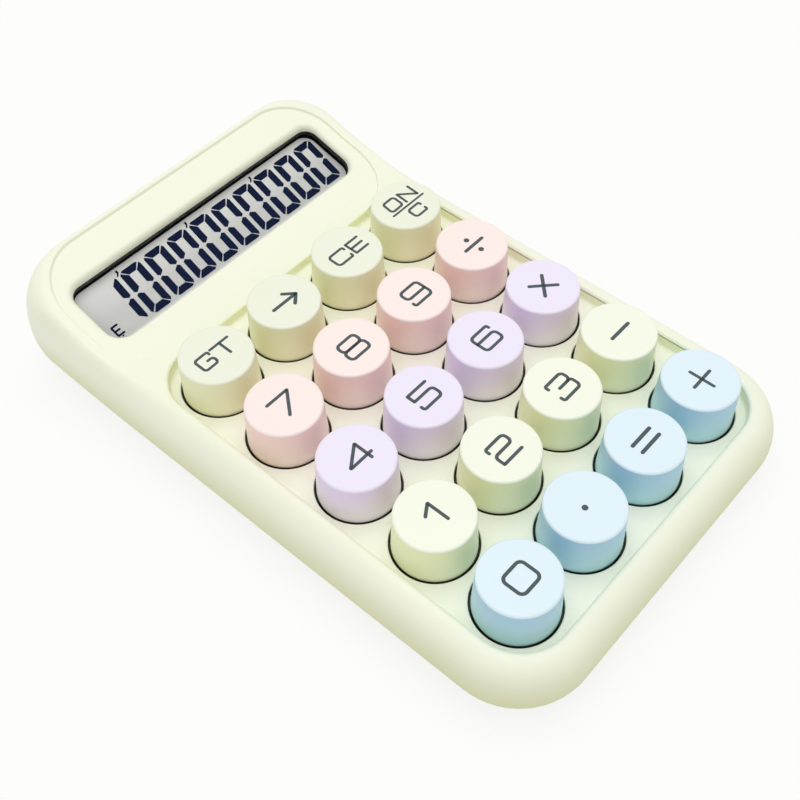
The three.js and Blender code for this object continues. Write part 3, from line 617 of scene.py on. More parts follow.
LEGEND_INK = ink("key legend ink", "4a5458", 0.6)
SEGMENT_INK = ink("display segment", "101c3c", 0.7, 0.08)
BEZEL = glossy("black bezel plastic", "0b0c0d", 0.5)
KEYPAD_RUBBER = rubber("keypad silicone", "d9dcd6")
FOOT_RUBBER = rubber("foot rubber", "d6d8cf")
ZINC = metal("zinc plated screw", "9a9da0", 0.35)
NICKEL = metal("nickel plated contact", "c9ccd0", 0.28)
RESIN = glossy("chip resin", "17181a", 0.35)
FILM = glossy("display cable film", "b98a3c", 0.35)
JACKET = glossy("cell jacket", "2c5f8a", 0.25)

# %% [markdown]
# The display lies deep behind its window. Its reflector gets painted light: a paler tone to the
# rear and along its front edge, against the shade of the edges of the window. The copper lanes of
# the board are one distorted wave pattern, which is enough for a board inside a case.

# %% Display, board with traces, and clear window
# Painted light: the reflector is paler towards its rear and along its front edge, where the edges
# of the window shade it
PAINTED_LIGHT_REAR = (52.0, 61.0)
PAINTED_LIGHT_FRONT = (46.7, 46.1)
face_finish = Finish("display reflector", 0.5)
y = face_finish.place_on_table()[1]
edges = face_finish.ramp(y, *PAINTED_LIGHT_REAR) + face_finish.ramp(y, *PAINTED_LIGHT_FRONT)
painted_light_mask = face_finish.clamped(edges + face_finish.noise(scale=300) * 0.1)
face_finish.set("Base Color", face_finish.blend(painted_light_mask, colour("d2d4d2"), colour("f6f6f4")))
DISPLAY_FACE = face_finish.material

board_finish = Finish("green solder mask", 0.3)
lanes = board_finish.node("ShaderNodeTexWave", {"wave_profile": "SIN", "bands_direction": "X"},
                          {"Vector": board_finish.place, "Scale": 160.0, "Distortion": 6.0,
                           "Detail": 1.0}, output=1)
board_finish.set("Base Color", board_finish.blend(lanes, colour("1f5a31"), colour("3b7a48")))
board_finish.bump(lanes, strength=0.2, distance=0.00003)
BOARD = board_finish.material

window_finish = Finish("clear window", 0.06, Alpha=0.04, Specular_IOR_Level=0.0)
smears = window_finish.noise(scale=40)
window_finish.set("Base Color", window_finish.blend(smears, colour("08090a"), colour("0e1012")))
window_finish.set("Roughness", smears * 0.04 + 0.03)
WINDOW = window_finish.material

# %% [markdown]
# ## Upper housing
# The housing is one moulding: a wall with a broad soft crown, a sunk deck with twenty round
# holes, and a panel that follows the bend. A stack of lofted rows gives even quads on the wall
# and the crown, and the flat and bent faces between the rows are filled at the end.

# %% Outlines of the housing and its openings
body_outline = rounded_outline(BODY_HALF_WIDTH, BODY_FRONT, BODY_REAR, FRONT_CORNER, REAR_CORNER)
panel_corner_x = PANEL_HALF_WIDTH - PANEL_FRONT_CORNER
panel_corner_y = RECESS_REAR - PANEL_TIP_OVERLAP + PANEL_FRONT_CORNER
tip_turn = math.degrees(math.asin((RECESS_REAR - panel_corner_y) / PANEL_FRONT_CORNER))
tip_x = panel_corner_x + PANEL_FRONT_CORNER * math.cos(math.radians(tip_turn))
recess_x = RECESS_HALF_WIDTH - RECESS_CORNER
recess_y = RECESS_REAR - RECESS_CORNER
left_tip, right_tip = (-tip_x, RECESS_REAR, 0, 1), (tip_x, RECESS_REAR, 0, 1)
recess_chain = chained(
    [left_tip] + arc(-recess_x, recess_y, RECESS_CORNER, 90, 180),
    arc(-recess_x, -recess_y, RECESS_CORNER, 180, 270),
    arc(recess_x, -recess_y, RECESS_CORNER, 270, 360),
    arc(recess_x, recess_y, RECESS_CORNER, 0, 90) + [right_tip],
)
rear_x, rear_y = PANEL_HALF_WIDTH - PANEL_REAR_CORNER, PANEL_REAR - PANEL_REAR_CORNER
panel_chain = chained(
    arc(panel_corner_x, panel_corner_y, PANEL_FRONT_CORNER, tip_turn, 0),
    arc(rear_x, rear_y, PANEL_REAR_CORNER, 0, 90),
    arc(-rear_x, rear_y, PANEL_REAR_CORNER, 90, 180),
    arc(-panel_corner_x, panel_corner_y, PANEL_FRONT_CORNER, 180, 180 - tip_turn),
)
rear_line = [right_tip] + straight(right_tip, left_tip) + [left_tip]


def near_tip(share, limit):
    """A radius that grows from nothing at the thin tips of the rim, as a function of the point."""
    return lambda point: min(
        limit, share * math.hypot(abs(point[0]) - tip_x, point[1] - RECESS_REAR))


print("rim tips at x", round(tip_x, 2))

# %% [markdown]
# From the flat bottom the side swells out to a waist, and from the waist a soft crown leads to
# the top of the rim. The crown gets narrower along the bend, and its rear corners are rounder
# than the waist below them.

# %% Side of the housing
def crown_width(point):
    share = 1 - (1 - CROWN_REAR_SHARE) * smoothstep(point[1], *CROWN_NARROWS)
    return CROWN_WIDTH * share - CROWN_REAR_TRIM * max(0.0, point[3])


def corner_pull(point):
    """Direction in which a point moves as the radius of the rear corners grows."""
    x, y, nx, ny = point
    side_start, side_end = BODY_FRONT + FRONT_CORNER, BODY_REAR - REAR_CORNER
    if y < side_start:
        return 0.0, 0.0
    if y < side_end:
        return 0.0, -(y - side_start) / (side_end - side_start)
    if abs(x) < BODY_HALF_WIDTH - REAR_CORNER:
        return -x / (BODY_HALF_WIDTH - REAR_CORNER), 0.0
    return math.copysign(1 - abs(nx), -x), ny - 1


def side_inset(y, lift):
    """Inset of the side at a lift above the flat bottom, up to the waist."""
    share = max(0.0, 1 - lift / (waist(y) - base_bottom(y)))
    return BASE_EDGE * (1 - math.sqrt(1 - share * share))


def side_row(lift, extra=0.0):
    """A row of the swelling side: the lift is a number, or depends on y."""
    lift_at = lift if callable(lift) else lambda y: lift
    return row(body_outline, lambda p: -side_inset(p[1], lift_at(p[1])) - extra,
               lambda y: base_bottom(y) + lift_at(y))


def crown_rows():
    rows = []
    for sine, cosine in quarter(CROWN_STEPS):
        places = row(body_outline, lambda p, c=cosine: -crown_width(p) * (1 - c), 0.0)
        for place, point in zip(places, body_outline):
            pull_x, pull_y = corner_pull(point)
            place.x += CROWN_CORNER_PULL * (1 - cosine) * pull_x
            place.y += CROWN_CORNER_PULL * (1 - cosine) * pull_y
            place.z = waist(place.y) + sine * (rim_top(place.y) - waist(place.y))
        rows.append(places)
    return rows


UPPER_LIFT = (PARTING_HEIGHT + PARTING_GAP - BASE_HEIGHT) / math.cos(WEDGE)
SIDE_START = UPPER_LIFT + PARTING_EDGE
SIDE_ROWS = 8
shell = bmesh.new()
rows = [
    row(body_outline, -INNER_TOP_INSET, ceiling),
    row(body_outline, -WALL - INNER_BEND_INSET, lambda y: ceiling(y) - INNER_BEND_DROP),
    row(body_outline, -WALL, waist),
    side_row(UPPER_LIFT, WALL),
]
rows += [side_row(UPPER_LIFT + PARTING_EDGE * (1 - c), PARTING_EDGE * (1 - s))
         for s, c in quarter(FILLET_STEPS)]
for step in range(1, SIDE_ROWS):
    rows.append(side_row(lambda y, share=step / SIDE_ROWS: SIDE_START + share * (
        waist(y) - base_bottom(y) - UPPER_LIFT - PARTING_EDGE)))
loft(shell, rows + crown_rows())

# %% [markdown]
# The openings are lofted in the same way, from an upper surface down to the next one. Each edge
# is rounded with a few rows of its own, because its radius has to shrink to nothing at the two
# thin tips where the recess meets the panel. The window is square to the slope of the display,
# so its rows lie in the plane of the display, and its lip is found along the normal of that plane.

# %% Recess wall, panel step and the front edge of the panel
recess_round, rear_round = near_tip(0.15, 0.8), near_tip(0.3, 0.5)
step_round, step_fillet = near_tip(0.06, 0.3), near_tip(0.08, 0.2)


def row_on(outline, outset, drop, surface):
    """A row whose drop below a surface depends on the point."""
    places = row(outline, outset, 0)
    for place, point in zip(places, outline):
        place.z = surface(place.y) - drop(point)
    return places


def edge_rows(outline, radius, surface):
    """Rows of a rounded edge from a surface down to a wall."""
    return [row_on(outline, lambda p, s=sine: radius(p) * (1 - s),
                   lambda p, c=cosine: radius(p) * (1 - c), surface)
            for sine, cosine in quarter(EDGE_STEPS)]


def recess_fillet(outline):
    return [row(outline, -FILLET * (1 - c), FILLET * (1 - s)) for s, c in quarter(FILLET_STEPS)]


wall_top = row(recess_chain, 0, RIM_HEIGHT - PANEL_DEPTH)
loft(shell, edge_rows(recess_chain, recess_round, rim_top) + [wall_top]
     + recess_fillet(recess_chain), closed=False)
rows = edge_rows(panel_chain, step_round, rim_top)
rows += [row_on(panel_chain, lambda p, c=cosine: -step_fillet(p) * (1 - c),
                lambda p, s=sine: -step_fillet(p) * (1 - s), panel_top)
         for sine, cosine in quarter(FILLET_STEPS)]
loft(shell, rows, closed=False)
loft(shell, edge_rows(rear_line, rear_round, panel_top) + recess_fillet(rear_line), closed=False)

# %% Key holes
key_places = [((column - 1.5) * KEY_PITCH, (2 - line) * KEY_PITCH)
              for line in range(5) for column in range(4)]
for x, y in key_places:
    hole = circle(x, y, KEY_HOLE)
    rows = [row(hole, 0, -DECK_THICKNESS)]
    rows += [row(hole, KEY_HOLE_EDGE * (1 - c), KEY_HOLE_EDGE * (s - 1))
             for s, c in quarter(FILLET_STEPS)]
    loft(shell, rows)


# %% Window opening
WINDOW_EDGE_STEPS, SEEKING_STEPS = 6, 12


def along_display(place, surface):
    """Moves a place along the display's normal until it lies on a surface of the deck frame."""
    axis = DISPLAY_IN_DECK.to_3x3() @ Vector((0, 0, 1))
    for _ in range(SEEKING_STEPS):
        place = place + axis * (surface(place.y) - place.z)
    return place


def display_row(outline, outset):
    return [DISPLAY_IN_DECK @ Vector((x + nx * outset, y + ny * outset, 0.0))
            for x, y, nx, ny in outline]


window_outline = rounded_outline(
    WINDOW_HALF_WIDTH, -WINDOW_HALF_LENGTH - WINDOW_FRONT_REACH, WINDOW_HALF_LENGTH,
    WINDOW_CORNER + WINDOW_FRONT_REACH, WINDOW_CORNER)
pocket = display_row(window_outline, POCKET_REACH)
rows = [[along_display(place, ceiling) for place in pocket], pocket]
lip_top = [along_display(place, panel_top) for place in display_row(window_outline, WINDOW_EDGE)]
lip_low = display_row(window_outline, WINDOW_EDGE)
for sine, cosine in quarter(WINDOW_EDGE_STEPS):
    inner = display_row(window_outline, WINDOW_EDGE * (1 - cosine))
    rows.append([place + (high - low) * sine
                 for place, high, low in zip(inner, lip_top, lip_low)])
loft(shell, rows)

# %% Fill the faces between the rows
merge(shell)
print("rim", fill_level(shell, rim_top), "panel", fill_level(shell, panel_top),
      "deck", fill_level(shell, lambda y: 0.0), "ceiling", fill_level(shell, ceiling))
print("open edges left", len(open_edges(shell)))
make_piece(shell, "housing_upper", DECK, HOUSING, stands_for="upper_housing")

# %% [markdown]
# ## Keys
# Each key is a hollow cap with slightly tapered sides, spun from one profile. The edge of the
# top is a small true radius, which catches the light as on the real moulding.

# %% Key caps
KEY_NAMES = ["gt", "backspace", "ce", "on_c", "7", "8", "9", "divide", "4", "5", "6", "multiply",
             "1", "2", "3", "minus", "0", "point", "equals", "plus"]
KEY_TOP = 9.6
KEY_TOP_RADIUS = 7.72
KEY_EDGE, KEY_EDGE_STEPS = 0.5, 6
KEY_SKIRT = 8.18
FLANGE_RADIUS, FLANGE_GAP, FLANGE_THICKNESS = 9.2, 0.3, 1.0
FLANGE_TOP = -DECK_THICKNESS - FLANGE_GAP
FLANGE_BOTTOM = FLANGE_TOP - FLANGE_THICKNESS
CAP_WALL, CAP_THICKNESS = 1.3, 1.5
CAP_CEILING = KEY_TOP - CAP_THICKNESS
STEM_RADIUS = 2.2
STEM_BOTTOM = -3.3
key_edge = [(KEY_TOP_RADIUS - KEY_EDGE * (1 - s), KEY_TOP - KEY_EDGE * (1 - c))
            for s, c in quarter(KEY_EDGE_STEPS)]
key_profile = [
    (0, KEY_TOP), (KEY_TOP_RADIUS - 2 * KEY_EDGE, KEY_TOP), *key_edge,
    (KEY_SKIRT, FLANGE_TOP), (FLANGE_RADIUS, FLANGE_TOP), (FLANGE_RADIUS, FLANGE_BOTTOM),
    (KEY_SKIRT - CAP_WALL, FLANGE_BOTTOM), (KEY_TOP_RADIUS - CAP_WALL, CAP_CEILING),
    (STEM_RADIUS, CAP_CEILING), (STEM_RADIUS, STEM_BOTTOM), (0, STEM_BOTTOM)]
for index, (name, (x, y)) in enumerate(zip(KEY_NAMES, key_places)):
    cap = bmesh.new()
    turned(cap, key_profile)
    slot, finish = ROW_FINISHES[index // 4]
    make_piece(cap, "cap_" + name, DECK @ Matrix.Translation((x, y, 0)), finish,
               body="key_%s_cap" % name, stands_for="key_" + name)

# %% [markdown]
# ## Legends
# The legends are printed with a thin even stroke and round ends. A font would bring letters of
# another shape, so each stroke is a ribbon along a path whose corners are rounded, raised by a
# film of ink.

# %% Strokes
INK_LOW, INK_TOP = -0.03, 0.03
CORNER_STEPS, END_STEPS = 5, 4
CORNER_SHARE = 0.49
TIP_SHARE = 0.02
BEND_LIMIT = 0.3


def softened(path, radius, closed):
    """Replaces each corner of a path by an arc; a corner may state its own radius."""
    points = []
    count = len(path)
    for i, corner in enumerate(path):
        if not closed and i in (0, count - 1):
            points.append(Vector(corner[:2]))
            continue
        here = Vector(corner[:2])
        before, after = Vector(path[i - 1][:2]), Vector(path[(i + 1) % count][:2])
        into, out = before - here, after - here
        half = into.angle(out) / 2
        wanted = corner[2] if len(corner) > 2 else radius
        reach = min(wanted / math.tan(half), CORNER_SHARE * into.length, CORNER_SHARE * out.length)
        size = reach * math.tan(half)
        middle = (into.normalized() + out.normalized()).normalized()
        centre = here + middle * (size / math.sin(half))
        first = here + into.normalized() * reach - centre
        last = here + out.normalized() * reach - centre
        turn = first.angle_signed(last)
        for k in range(CORNER_STEPS + 1):
            points.append(centre + Matrix.Rotation(-turn * k / CORNER_STEPS, 2) @ first)
    return points


def ribbon(bm, path, half_width, radius, closed=False, low=INK_LOW, top=INK_TOP):
    """A flat stroke of even width along a path, with round ends."""
    points = softened(path, radius, closed)
    widths = [half_width] * len(points)
    if not closed:
        caps = []
        for end, inner in ((points[0], points[1]), (points[-1], points[-2])):
            away = (end - inner).normalized()
            caps.append([(end + away * half_width * s, half_width * max(c, TIP_SHARE))
                         for s, c in quarter(END_STEPS)[1:]])
        points = [p for p, _ in reversed(caps[0])] + points + [p for p, _ in caps[1]]
        widths = [w for _, w in reversed(caps[0])] + widths + [w for _, w in caps[1]]
    sides = ([], [])
    for i, point in enumerate(points):
        before = points[i - 1] if closed or i else point
        after = points[(i + 1) % len(points)] if closed or i + 1 < len(points) else point
        run = (point - before).normalized() + (after - point).normalized()
        run = run.normalized()
        across = Vector((-run.y, run.x))
        ahead = after - point
        straight_across = Vector((-ahead.y, ahead.x)).normalized()
        bend = max(BEND_LIMIT, across.dot(straight_across) if ahead.length else 1.0)
        for side, sign in zip(sides, (1, -1)):
            side.append(point + across * (sign * widths[i] / bend))
    rows = [[Vector((p.x, p.y, height)) for p in side]
            for side, height in ((sides[0], low), (sides[0], top), (sides[1], top), (sides[1], low),
                                 (sides[0], low))]
    loft(bm, rows, closed)
    merge(bm, 0.0001)


def plate(bm, outline, low, high):
    """A thin flat plate with the given outline."""
    prism(bm, [(point[0], point[1], low) for point in outline], (0, 0, high - low))


def dot(bm, x, y, radius, low=INK_LOW, top=INK_TOP):
    plate(bm, circle(x, y, radius, 32), low, top)


# %% Letter shapes, in millimetres from the middle of each key
FINE, THIN, MEDIUM, BOLD = 0.25, 0.3, 0.34, 0.39
# Each stroke has a path, half its width, the radius of its corners, and True where it is closed
LEGENDS = {
    "gt": [([(-0.95, 1.0), (-0.95, 1.7), (-4.35, 1.7), (-4.35, -1.85), (-0.95, -1.85),
             (-0.95, -0.1), (-2.3, -0.1)], THIN, 0.7),
           ([(-0.2, 1.65), (4.5, 1.65)], THIN, 0.1), ([(2.3, 1.65), (2.3, -1.85)], THIN, 0.1)],
    "backspace": [([(-3.35, -0.5), (2.8, -0.5)], BOLD, 0.1),
                  ([(0.95, 1.5), (3.0, -0.5), (0.95, -2.35)], BOLD, 0.05)],
    "ce": [([(-0.15, 0.65), (-0.15, 1.35), (-4.3, 1.35), (-4.3, -2.1), (-0.15, -2.1),
             (-0.15, -1.4)], THIN, 0.8),
           ([(4.4, 1.35), (0.9, 1.35), (0.9, -2.1), (4.4, -2.1)], THIN, 0.1),
           ([(0.9, -0.4), (4.2, -0.4)], THIN, 0.1)],
    "on_c": [([(-3.95, 0.3), (-3.45, 3.6), (-0.1, 3.6), (-0.45, 0.4)], THIN, 0.7, True),
             ([(0.78, 0.3), (1.07, 3.57), (4.39, 0.26), (4.65, 3.5)], THIN, 0.05),
             ([(-4.6, -0.65), (5.1, -0.65)], FINE, 0.1),
             ([(2.2, -2.5), (2.25, -1.85), (-1.3, -1.85), (-1.4, -4.6), (2.1, -4.6),
               (2.15, -3.85)], THIN, 0.8)],
    "7": [([(-2.55, 1.95), (2.8, 1.95), (-1.1, -2.85)], MEDIUM, 0.05)],
    "8": [([(-2.35, -0.4), (-2.35, 1.95), (2.55, 1.95), (2.55, -0.4)], MEDIUM, 0.9, True),
          ([(-2.55, -2.85), (-2.55, -0.4), (2.75, -0.4), (2.75, -2.85)], MEDIUM, 0.9, True)],
    "9": [([(2.7, -0.6), (-2.4, -0.6), (-2.4, 1.9), (2.7, 1.9), (2.7, -2.75), (-2.4, -2.75),
            (-2.4, -1.95)], MEDIUM, 0.9)],
    "divide": [([(-2.7, -0.5), (2.7, -0.5)], BOLD, 0.1)],
    "4": [([(1.9, -2.15), (1.9, 2.3), (-2.75, -1.15), (2.8, -1.15)], MEDIUM, 0.08)],
    "5": [([(2.7, 2.05), (-2.4, 2.05, 0.08), (-2.4, 0.2, 0.08), (2.65, 0.2), (2.65, -2.5),
            (-2.5, -2.5), (-2.5, -1.6)], MEDIUM, 0.9)],
    "6": [([(2.6, 1.35), (2.6, 2.05), (-2.4, 2.05), (-2.4, -2.45), (2.7, -2.45), (2.7, 0.1),
            (-2.4, 0.1)], MEDIUM, 0.9)],
    "multiply": [([(-2.15, 2.0), (2.15, -2.15)], BOLD, 0.1),
                 ([(2.15, 2.0), (-2.15, -2.15)], BOLD, 0.1)],
    "1": [([(-1.5, 0.95), (0.9, 2.55), (0.9, -2.3)], MEDIUM, 0.08)],
    "2": [([(-2.5, 0.9), (-2.5, 1.9), (2.6, 1.9), (2.6, -0.4), (-2.5, -0.4), (-2.5, -2.75, 0.08),
            (2.6, -2.75)], MEDIUM, 0.9)],
    "3": [([(-2.4, 1.6), (-2.4, 2.5), (2.6, 2.5), (2.6, 0.2), (-0.7, 0.2)], MEDIUM, 0.9),
          ([(1.5, 0.2), (2.75, 0.2), (2.75, -2.3), (-2.4, -2.3), (-2.4, -1.4)], MEDIUM, 0.9)],
    "minus": [([(-2.7, -0.2), (2.7, -0.2)], BOLD, 0.1)],
    "0": [([(-2.65, -2.7), (-2.65, 2.1), (2.6, 2.1), (2.6, -2.7)], MEDIUM, 1.1, True)],
    "point": [],
    "equals": [([(-2.85, 0.95), (2.6, 0.95)], BOLD, 0.1),
               ([(-2.85, -1.25), (2.6, -1.25)], BOLD, 0.1)],
    "plus": [([(-2.65, -0.2), (2.75, -0.2)], MEDIUM, 0.1),
             ([(0.05, -2.85), (0.05, 2.5)], MEDIUM, 0.1)],
}
DOTS = {"divide": [(-0.05, 1.5, 0.62), (-0.05, -2.55, 0.62)], "point": [(-0.5, -0.25, 0.6)]}

for name, (x, y) in zip(KEY_NAMES, key_places):
    legend = bmesh.new()
    for stroke in LEGENDS[name]:
        ribbon(legend, *stroke)
    for spot in DOTS.get(name, []):
        dot(legend, *spot)
    close_holes(legend)
    make_piece(legend, "legend_" + name, DECK @ Matrix.Translation((x, y, KEY_TOP)), LEGEND_INK,
               body="key_%s_cap" % name)

# %% [markdown]
# ## Display
# Behind the window lie a black frame, a clear pane and the liquid-crystal cell. The dark segments
# are slanted seven-segment figures: a one and nine noughts, with three small marks above them.
# Each bar is a thin plate, which stays sharp from close by, where a picture would blur.

# %% Bezel
DISPLAY_GAP, BEZEL_LIP, LENS_THICKNESS, BEZEL_TAIL = 0.15, 1.1, 0.8, 2.0
BEZEL_TOP = -DISPLAY_GAP
BEZEL_LEDGE = BEZEL_TOP - BEZEL_LIP
LCD_TOP = BEZEL_LEDGE - DISPLAY_GAP - LENS_THICKNESS - DISPLAY_GAP
BEZEL_BOTTOM = LCD_TOP - BEZEL_TAIL
BEZEL_REACH, BEZEL_SEAT, BEZEL_BEVEL = 2.8, 1.6, 0.1
ON_LCD = DISPLAY @ Matrix.Translation((0, 0, LCD_TOP))


def framed(profile):
    """A frame that follows the window, from a profile of outsets and heights."""
    bm = bmesh.new()
    loft(bm, [row(window_outline, outset, height) for outset, height in profile + profile[:1]])
    merge(bm)
    return bm


bezel = framed([
    (BEZEL_REACH, BEZEL_BOTTOM), (BEZEL_REACH, BEZEL_TOP - BEZEL_BEVEL),
    (BEZEL_REACH - BEZEL_BEVEL, BEZEL_TOP), (BEZEL_BEVEL, BEZEL_TOP), (0, BEZEL_TOP - BEZEL_BEVEL),
    (0, BEZEL_LEDGE), (BEZEL_SEAT, BEZEL_LEDGE), (BEZEL_SEAT, BEZEL_BOTTOM)])
make_piece(bezel, "bezel_frame", DISPLAY, BEZEL, stands_for="display_bezel")

# %% Figures of the display
FIGURE_WIDTH, FIGURE_HEIGHT, BAR = 5.65, 12.7, 1.72
FIGURE_PITCH = 6.72
FIRST_FIGURE = -28.29
FIGURE_DROP = 0.2
SLANT = 0.084
GAP = 0.13
FIGURE_LOW, FIGURE_TOP = 0.01, 0.08
# The small mark that stands above every third figure
MARK = [(0, 5.55), (0.55, 6.35), (0.5, 7.0), (1.05, 7.0), (1.0, 6.25), (0.3, 5.5)]
MARK_SHIFT = 0.35
MIDDLE_CUT, OUTER_CUT, INNER_CUT = 0.55, 0.95, 0.95
CORNER_X, CORNER_Y = 0.3, 0.45
POINT_X, POINT_Y = 0.62, 0.14
FLAT_END, FLAT_CUT = 0.45, 0.25
half_w, half_h = FIGURE_WIDTH / 2, FIGURE_HEIGHT / 2


def upright_bar(side, end):
    """One of the four upright bars: side is left or right, end is up or down, as signs."""
    outline = [(half_w, MIDDLE_CUT), (half_w, half_h - OUTER_CUT),
               (half_w - CORNER_X, half_h - CORNER_Y), (half_w - BAR, half_h - BAR - GAP),
               (half_w - BAR, INNER_CUT), (half_w - POINT_X, POINT_Y)]
    return [(side * x, end * y) for x, y in outline]


def flat_bar(end):
    reach = half_w - FLAT_END - GAP
    inner = half_w - BAR - GAP
    outline = [(-reach, half_h - FLAT_CUT), (-reach + FLAT_END, half_h),
               (reach - FLAT_END, half_h), (reach, half_h - FLAT_CUT),
               (inner, half_h - BAR), (-inner, half_h - BAR)]
    return [(x, end * y) for x, y in outline]


figures = bmesh.new()
for place in range(10):
    bars = [upright_bar(1, 1), upright_bar(1, -1)]
    if place:
        bars += [upright_bar(-1, 1), upright_bar(-1, -1), flat_bar(1), flat_bar(-1)]
    centre = FIRST_FIGURE + place * FIGURE_PITCH
    for outline in bars:
        plate(figures, [(centre + x + y * SLANT, y - FIGURE_DROP) for x, y in outline],
              FIGURE_LOW, FIGURE_TOP)
for place in (0, 3, 6):
    start = FIRST_FIGURE + (place + 0.5) * FIGURE_PITCH + MARK_SHIFT
    plate(figures, [(start + x, y) for x, y in MARK], FIGURE_LOW, FIGURE_TOP)
make_piece(figures, "display_figures", ON_LCD, SEGMENT_INK)

# %% Letter and border of the display
LETTER = [[(-32.5, -3.3), (-34.0, -3.3), (-34.0, -5.7), (-32.5, -5.7)],
          [(-33.9, -4.5), (-32.75, -4.5)]]
LETTER_DOT = (-33.2, -6.25, 0.2)
LETTER_HALF_WIDTH, LETTER_CORNER = 0.23, 0.05
BORDER_INNER, BORDER_OUTER = -0.1, 1.4
letter = bmesh.new()
for path in LETTER:
    ribbon(letter, path, LETTER_HALF_WIDTH, LETTER_CORNER, low=FIGURE_LOW, top=FIGURE_TOP)
dot(letter, *LETTER_DOT, low=FIGURE_LOW, top=FIGURE_TOP)
close_holes(letter)
make_piece(letter, "display_letter", ON_LCD, SEGMENT_INK)

border = framed([
    (BORDER_INNER, FIGURE_LOW), (BORDER_INNER, FIGURE_TOP), (BORDER_OUTER, FIGURE_TOP),
    (BORDER_OUTER, FIGURE_LOW)])
make_piece(border, "display_border", ON_LCD, BEZEL)

# %% [markdown]
# ## Underside
# The base is a shallow tray with a rounded lower edge, four screw bores, sockets for the feet and
# the battery door. It is rarely seen, but it is made as carefully as the top. The tray is lofted
# like the upper housing. Its pads, bores and channel cross the sloping floor, so they are blocks
# and bars that are joined to the tray or cut from it.

# %% Rows of the base, and blocks for carving
LOWER_LIFT = (PARTING_HEIGHT - PARTING_GAP - BASE_HEIGHT) / math.cos(WEDGE)
FLOOR = 2.0
TRAY_INSET = 3.6
BASE_STEPS = 10


def base_rows(top):
    """Rows from the flat bottom to a lift, closer together where the side turns fastest."""
    return [side_row(top * (step / BASE_STEPS) ** 2) for step in range(BASE_STEPS + 1)]


def loose_piece(bm, name):
    """A piece that is still to be carved, or that carves another."""
    bmesh.ops.recalc_face_normals(bm, faces=bm.faces)
    return to_object(bm, name)


def carve(target, cutters, operation="DIFFERENCE"):
    """Joins, cuts or intersects a target with other pieces, and removes these."""
    for cutter in cutters:
        step = target.modifiers.new(operation, "BOOLEAN")
        step.operation = operation
        step.solver = "EXACT"
        step.object = cutter
    bpy.context.view_layer.update()
    shape = bpy.data.meshes.new_from_object(
        target.evaluated_get(bpy.context.evaluated_depsgraph_get()))
    target.modifiers.clear()
    old = target.data
    target.data = shape
    bpy.data.meshes.remove(old)
    for cutter in cutters:
        bpy.data.objects.remove(cutter)


def block(half_width, low_y, high_y, low_z, high_z):
    """A block across the middle of the body, level with the table."""
    bm = bmesh.new()
    bmesh.ops.create_cube(bm, size=1.0)
    scale = Matrix.Diagonal((2 * half_width, high_y - low_y, high_z - low_z, 1))
    centre = Matrix.Translation((0, (low_y + high_y) / 2, (low_z + high_z) / 2))
    bmesh.ops.transform(bm, matrix=LEVEL @ centre @ scale, verts=bm.verts)
    return loose_piece(bm, "cutter")


def bar(radius, low, high, x, y, tilt=Matrix.Identity(4)):
    """An upright round bar, square to the deck or to the table."""
    bm = bmesh.new()
    bmesh.ops.create_cone(bm, cap_ends=True, segments=48, radius1=radius, radius2=radius,
                          depth=high - low)
    centre = Matrix.Translation((x, y, (low + high) / 2))
    bmesh.ops.transform(bm, matrix=tilt @ centre, verts=bm.verts)
    return loose_piece(bm, "cutter")


# %% Battery tub and door channel
CELL_Y, CELL_HEIGHT, CELL_RADIUS, CELL_PLAY = 75.2, 9.35, 5.25, 0.4
TUB_RADIUS, TUB_HALF_LENGTH, TUB_WALL = CELL_RADIUS + CELL_PLAY, 25.25, 1.0
TUB_FRAME_HALF_WIDTH, TUB_FRAME_TOP = 31, 4.0
DOOR_HALF_WIDTH, DOOR_FRONT, DOOR_TOP = 27.6, 68.0, 2.8
DOOR_FLANGE, DOOR_FLANGE_THICKNESS, DOOR_GAP = 1.2, 0.9, 0.3
OVERRUN = 1.0
ARCH_STEPS = 24


def arch(radius, low, half_length):
    """A bar along X with an arched top and upright sides."""
    outline = [(CELL_Y - radius, low), (CELL_Y + radius, low)]
    for step in range(ARCH_STEPS + 1):
        turn = math.pi * step / ARCH_STEPS
        outline.append((CELL_Y + radius * math.cos(turn), CELL_HEIGHT + radius * math.sin(turn)))
    bm = bmesh.new()
    prism(bm, [(-half_length, y, z) for y, z in outline], (2 * half_length, 0, 0))
    bmesh.ops.transform(bm, matrix=LEVEL, verts=bm.verts)
    return loose_piece(bm, "cutter")


def door_blocks(grow):
    """The door and its flange, or with some growth the channel for them."""
    front, rear, top = DOOR_FRONT - grow, BODY_REAR + OVERRUN, DOOR_TOP + grow
    flange_low = DOOR_TOP - DOOR_FLANGE_THICKNESS - grow
    return [block(DOOR_HALF_WIDTH + grow, front, rear, 0.0, top),
            block(DOOR_HALF_WIDTH + DOOR_FLANGE + grow, front, rear, flange_low, top)]


# %% Lower housing
tray = bmesh.new()
rows = base_rows(LOWER_LIFT - PARTING_EDGE)[:-1]
rows += [side_row(LOWER_LIFT - PARTING_EDGE * (1 - c), PARTING_EDGE * (1 - s))
         for s, c in quarter(FILLET_STEPS)[::-1]]
rows.append(row(body_outline, -TRAY_INSET, lambda y: base_bottom(y) + LOWER_LIFT))
rows.append(row(body_outline, -TRAY_INSET, lambda y: base_bottom(y) + FLOOR))
loft(tray, rows)
merge(tray)
print("floor", fill_level(tray, base_bottom), fill_level(tray, lambda y: base_bottom(y) + FLOOR),
      "open", len(open_edges(tray)))
lower = loose_piece(tray, "housing_lower")

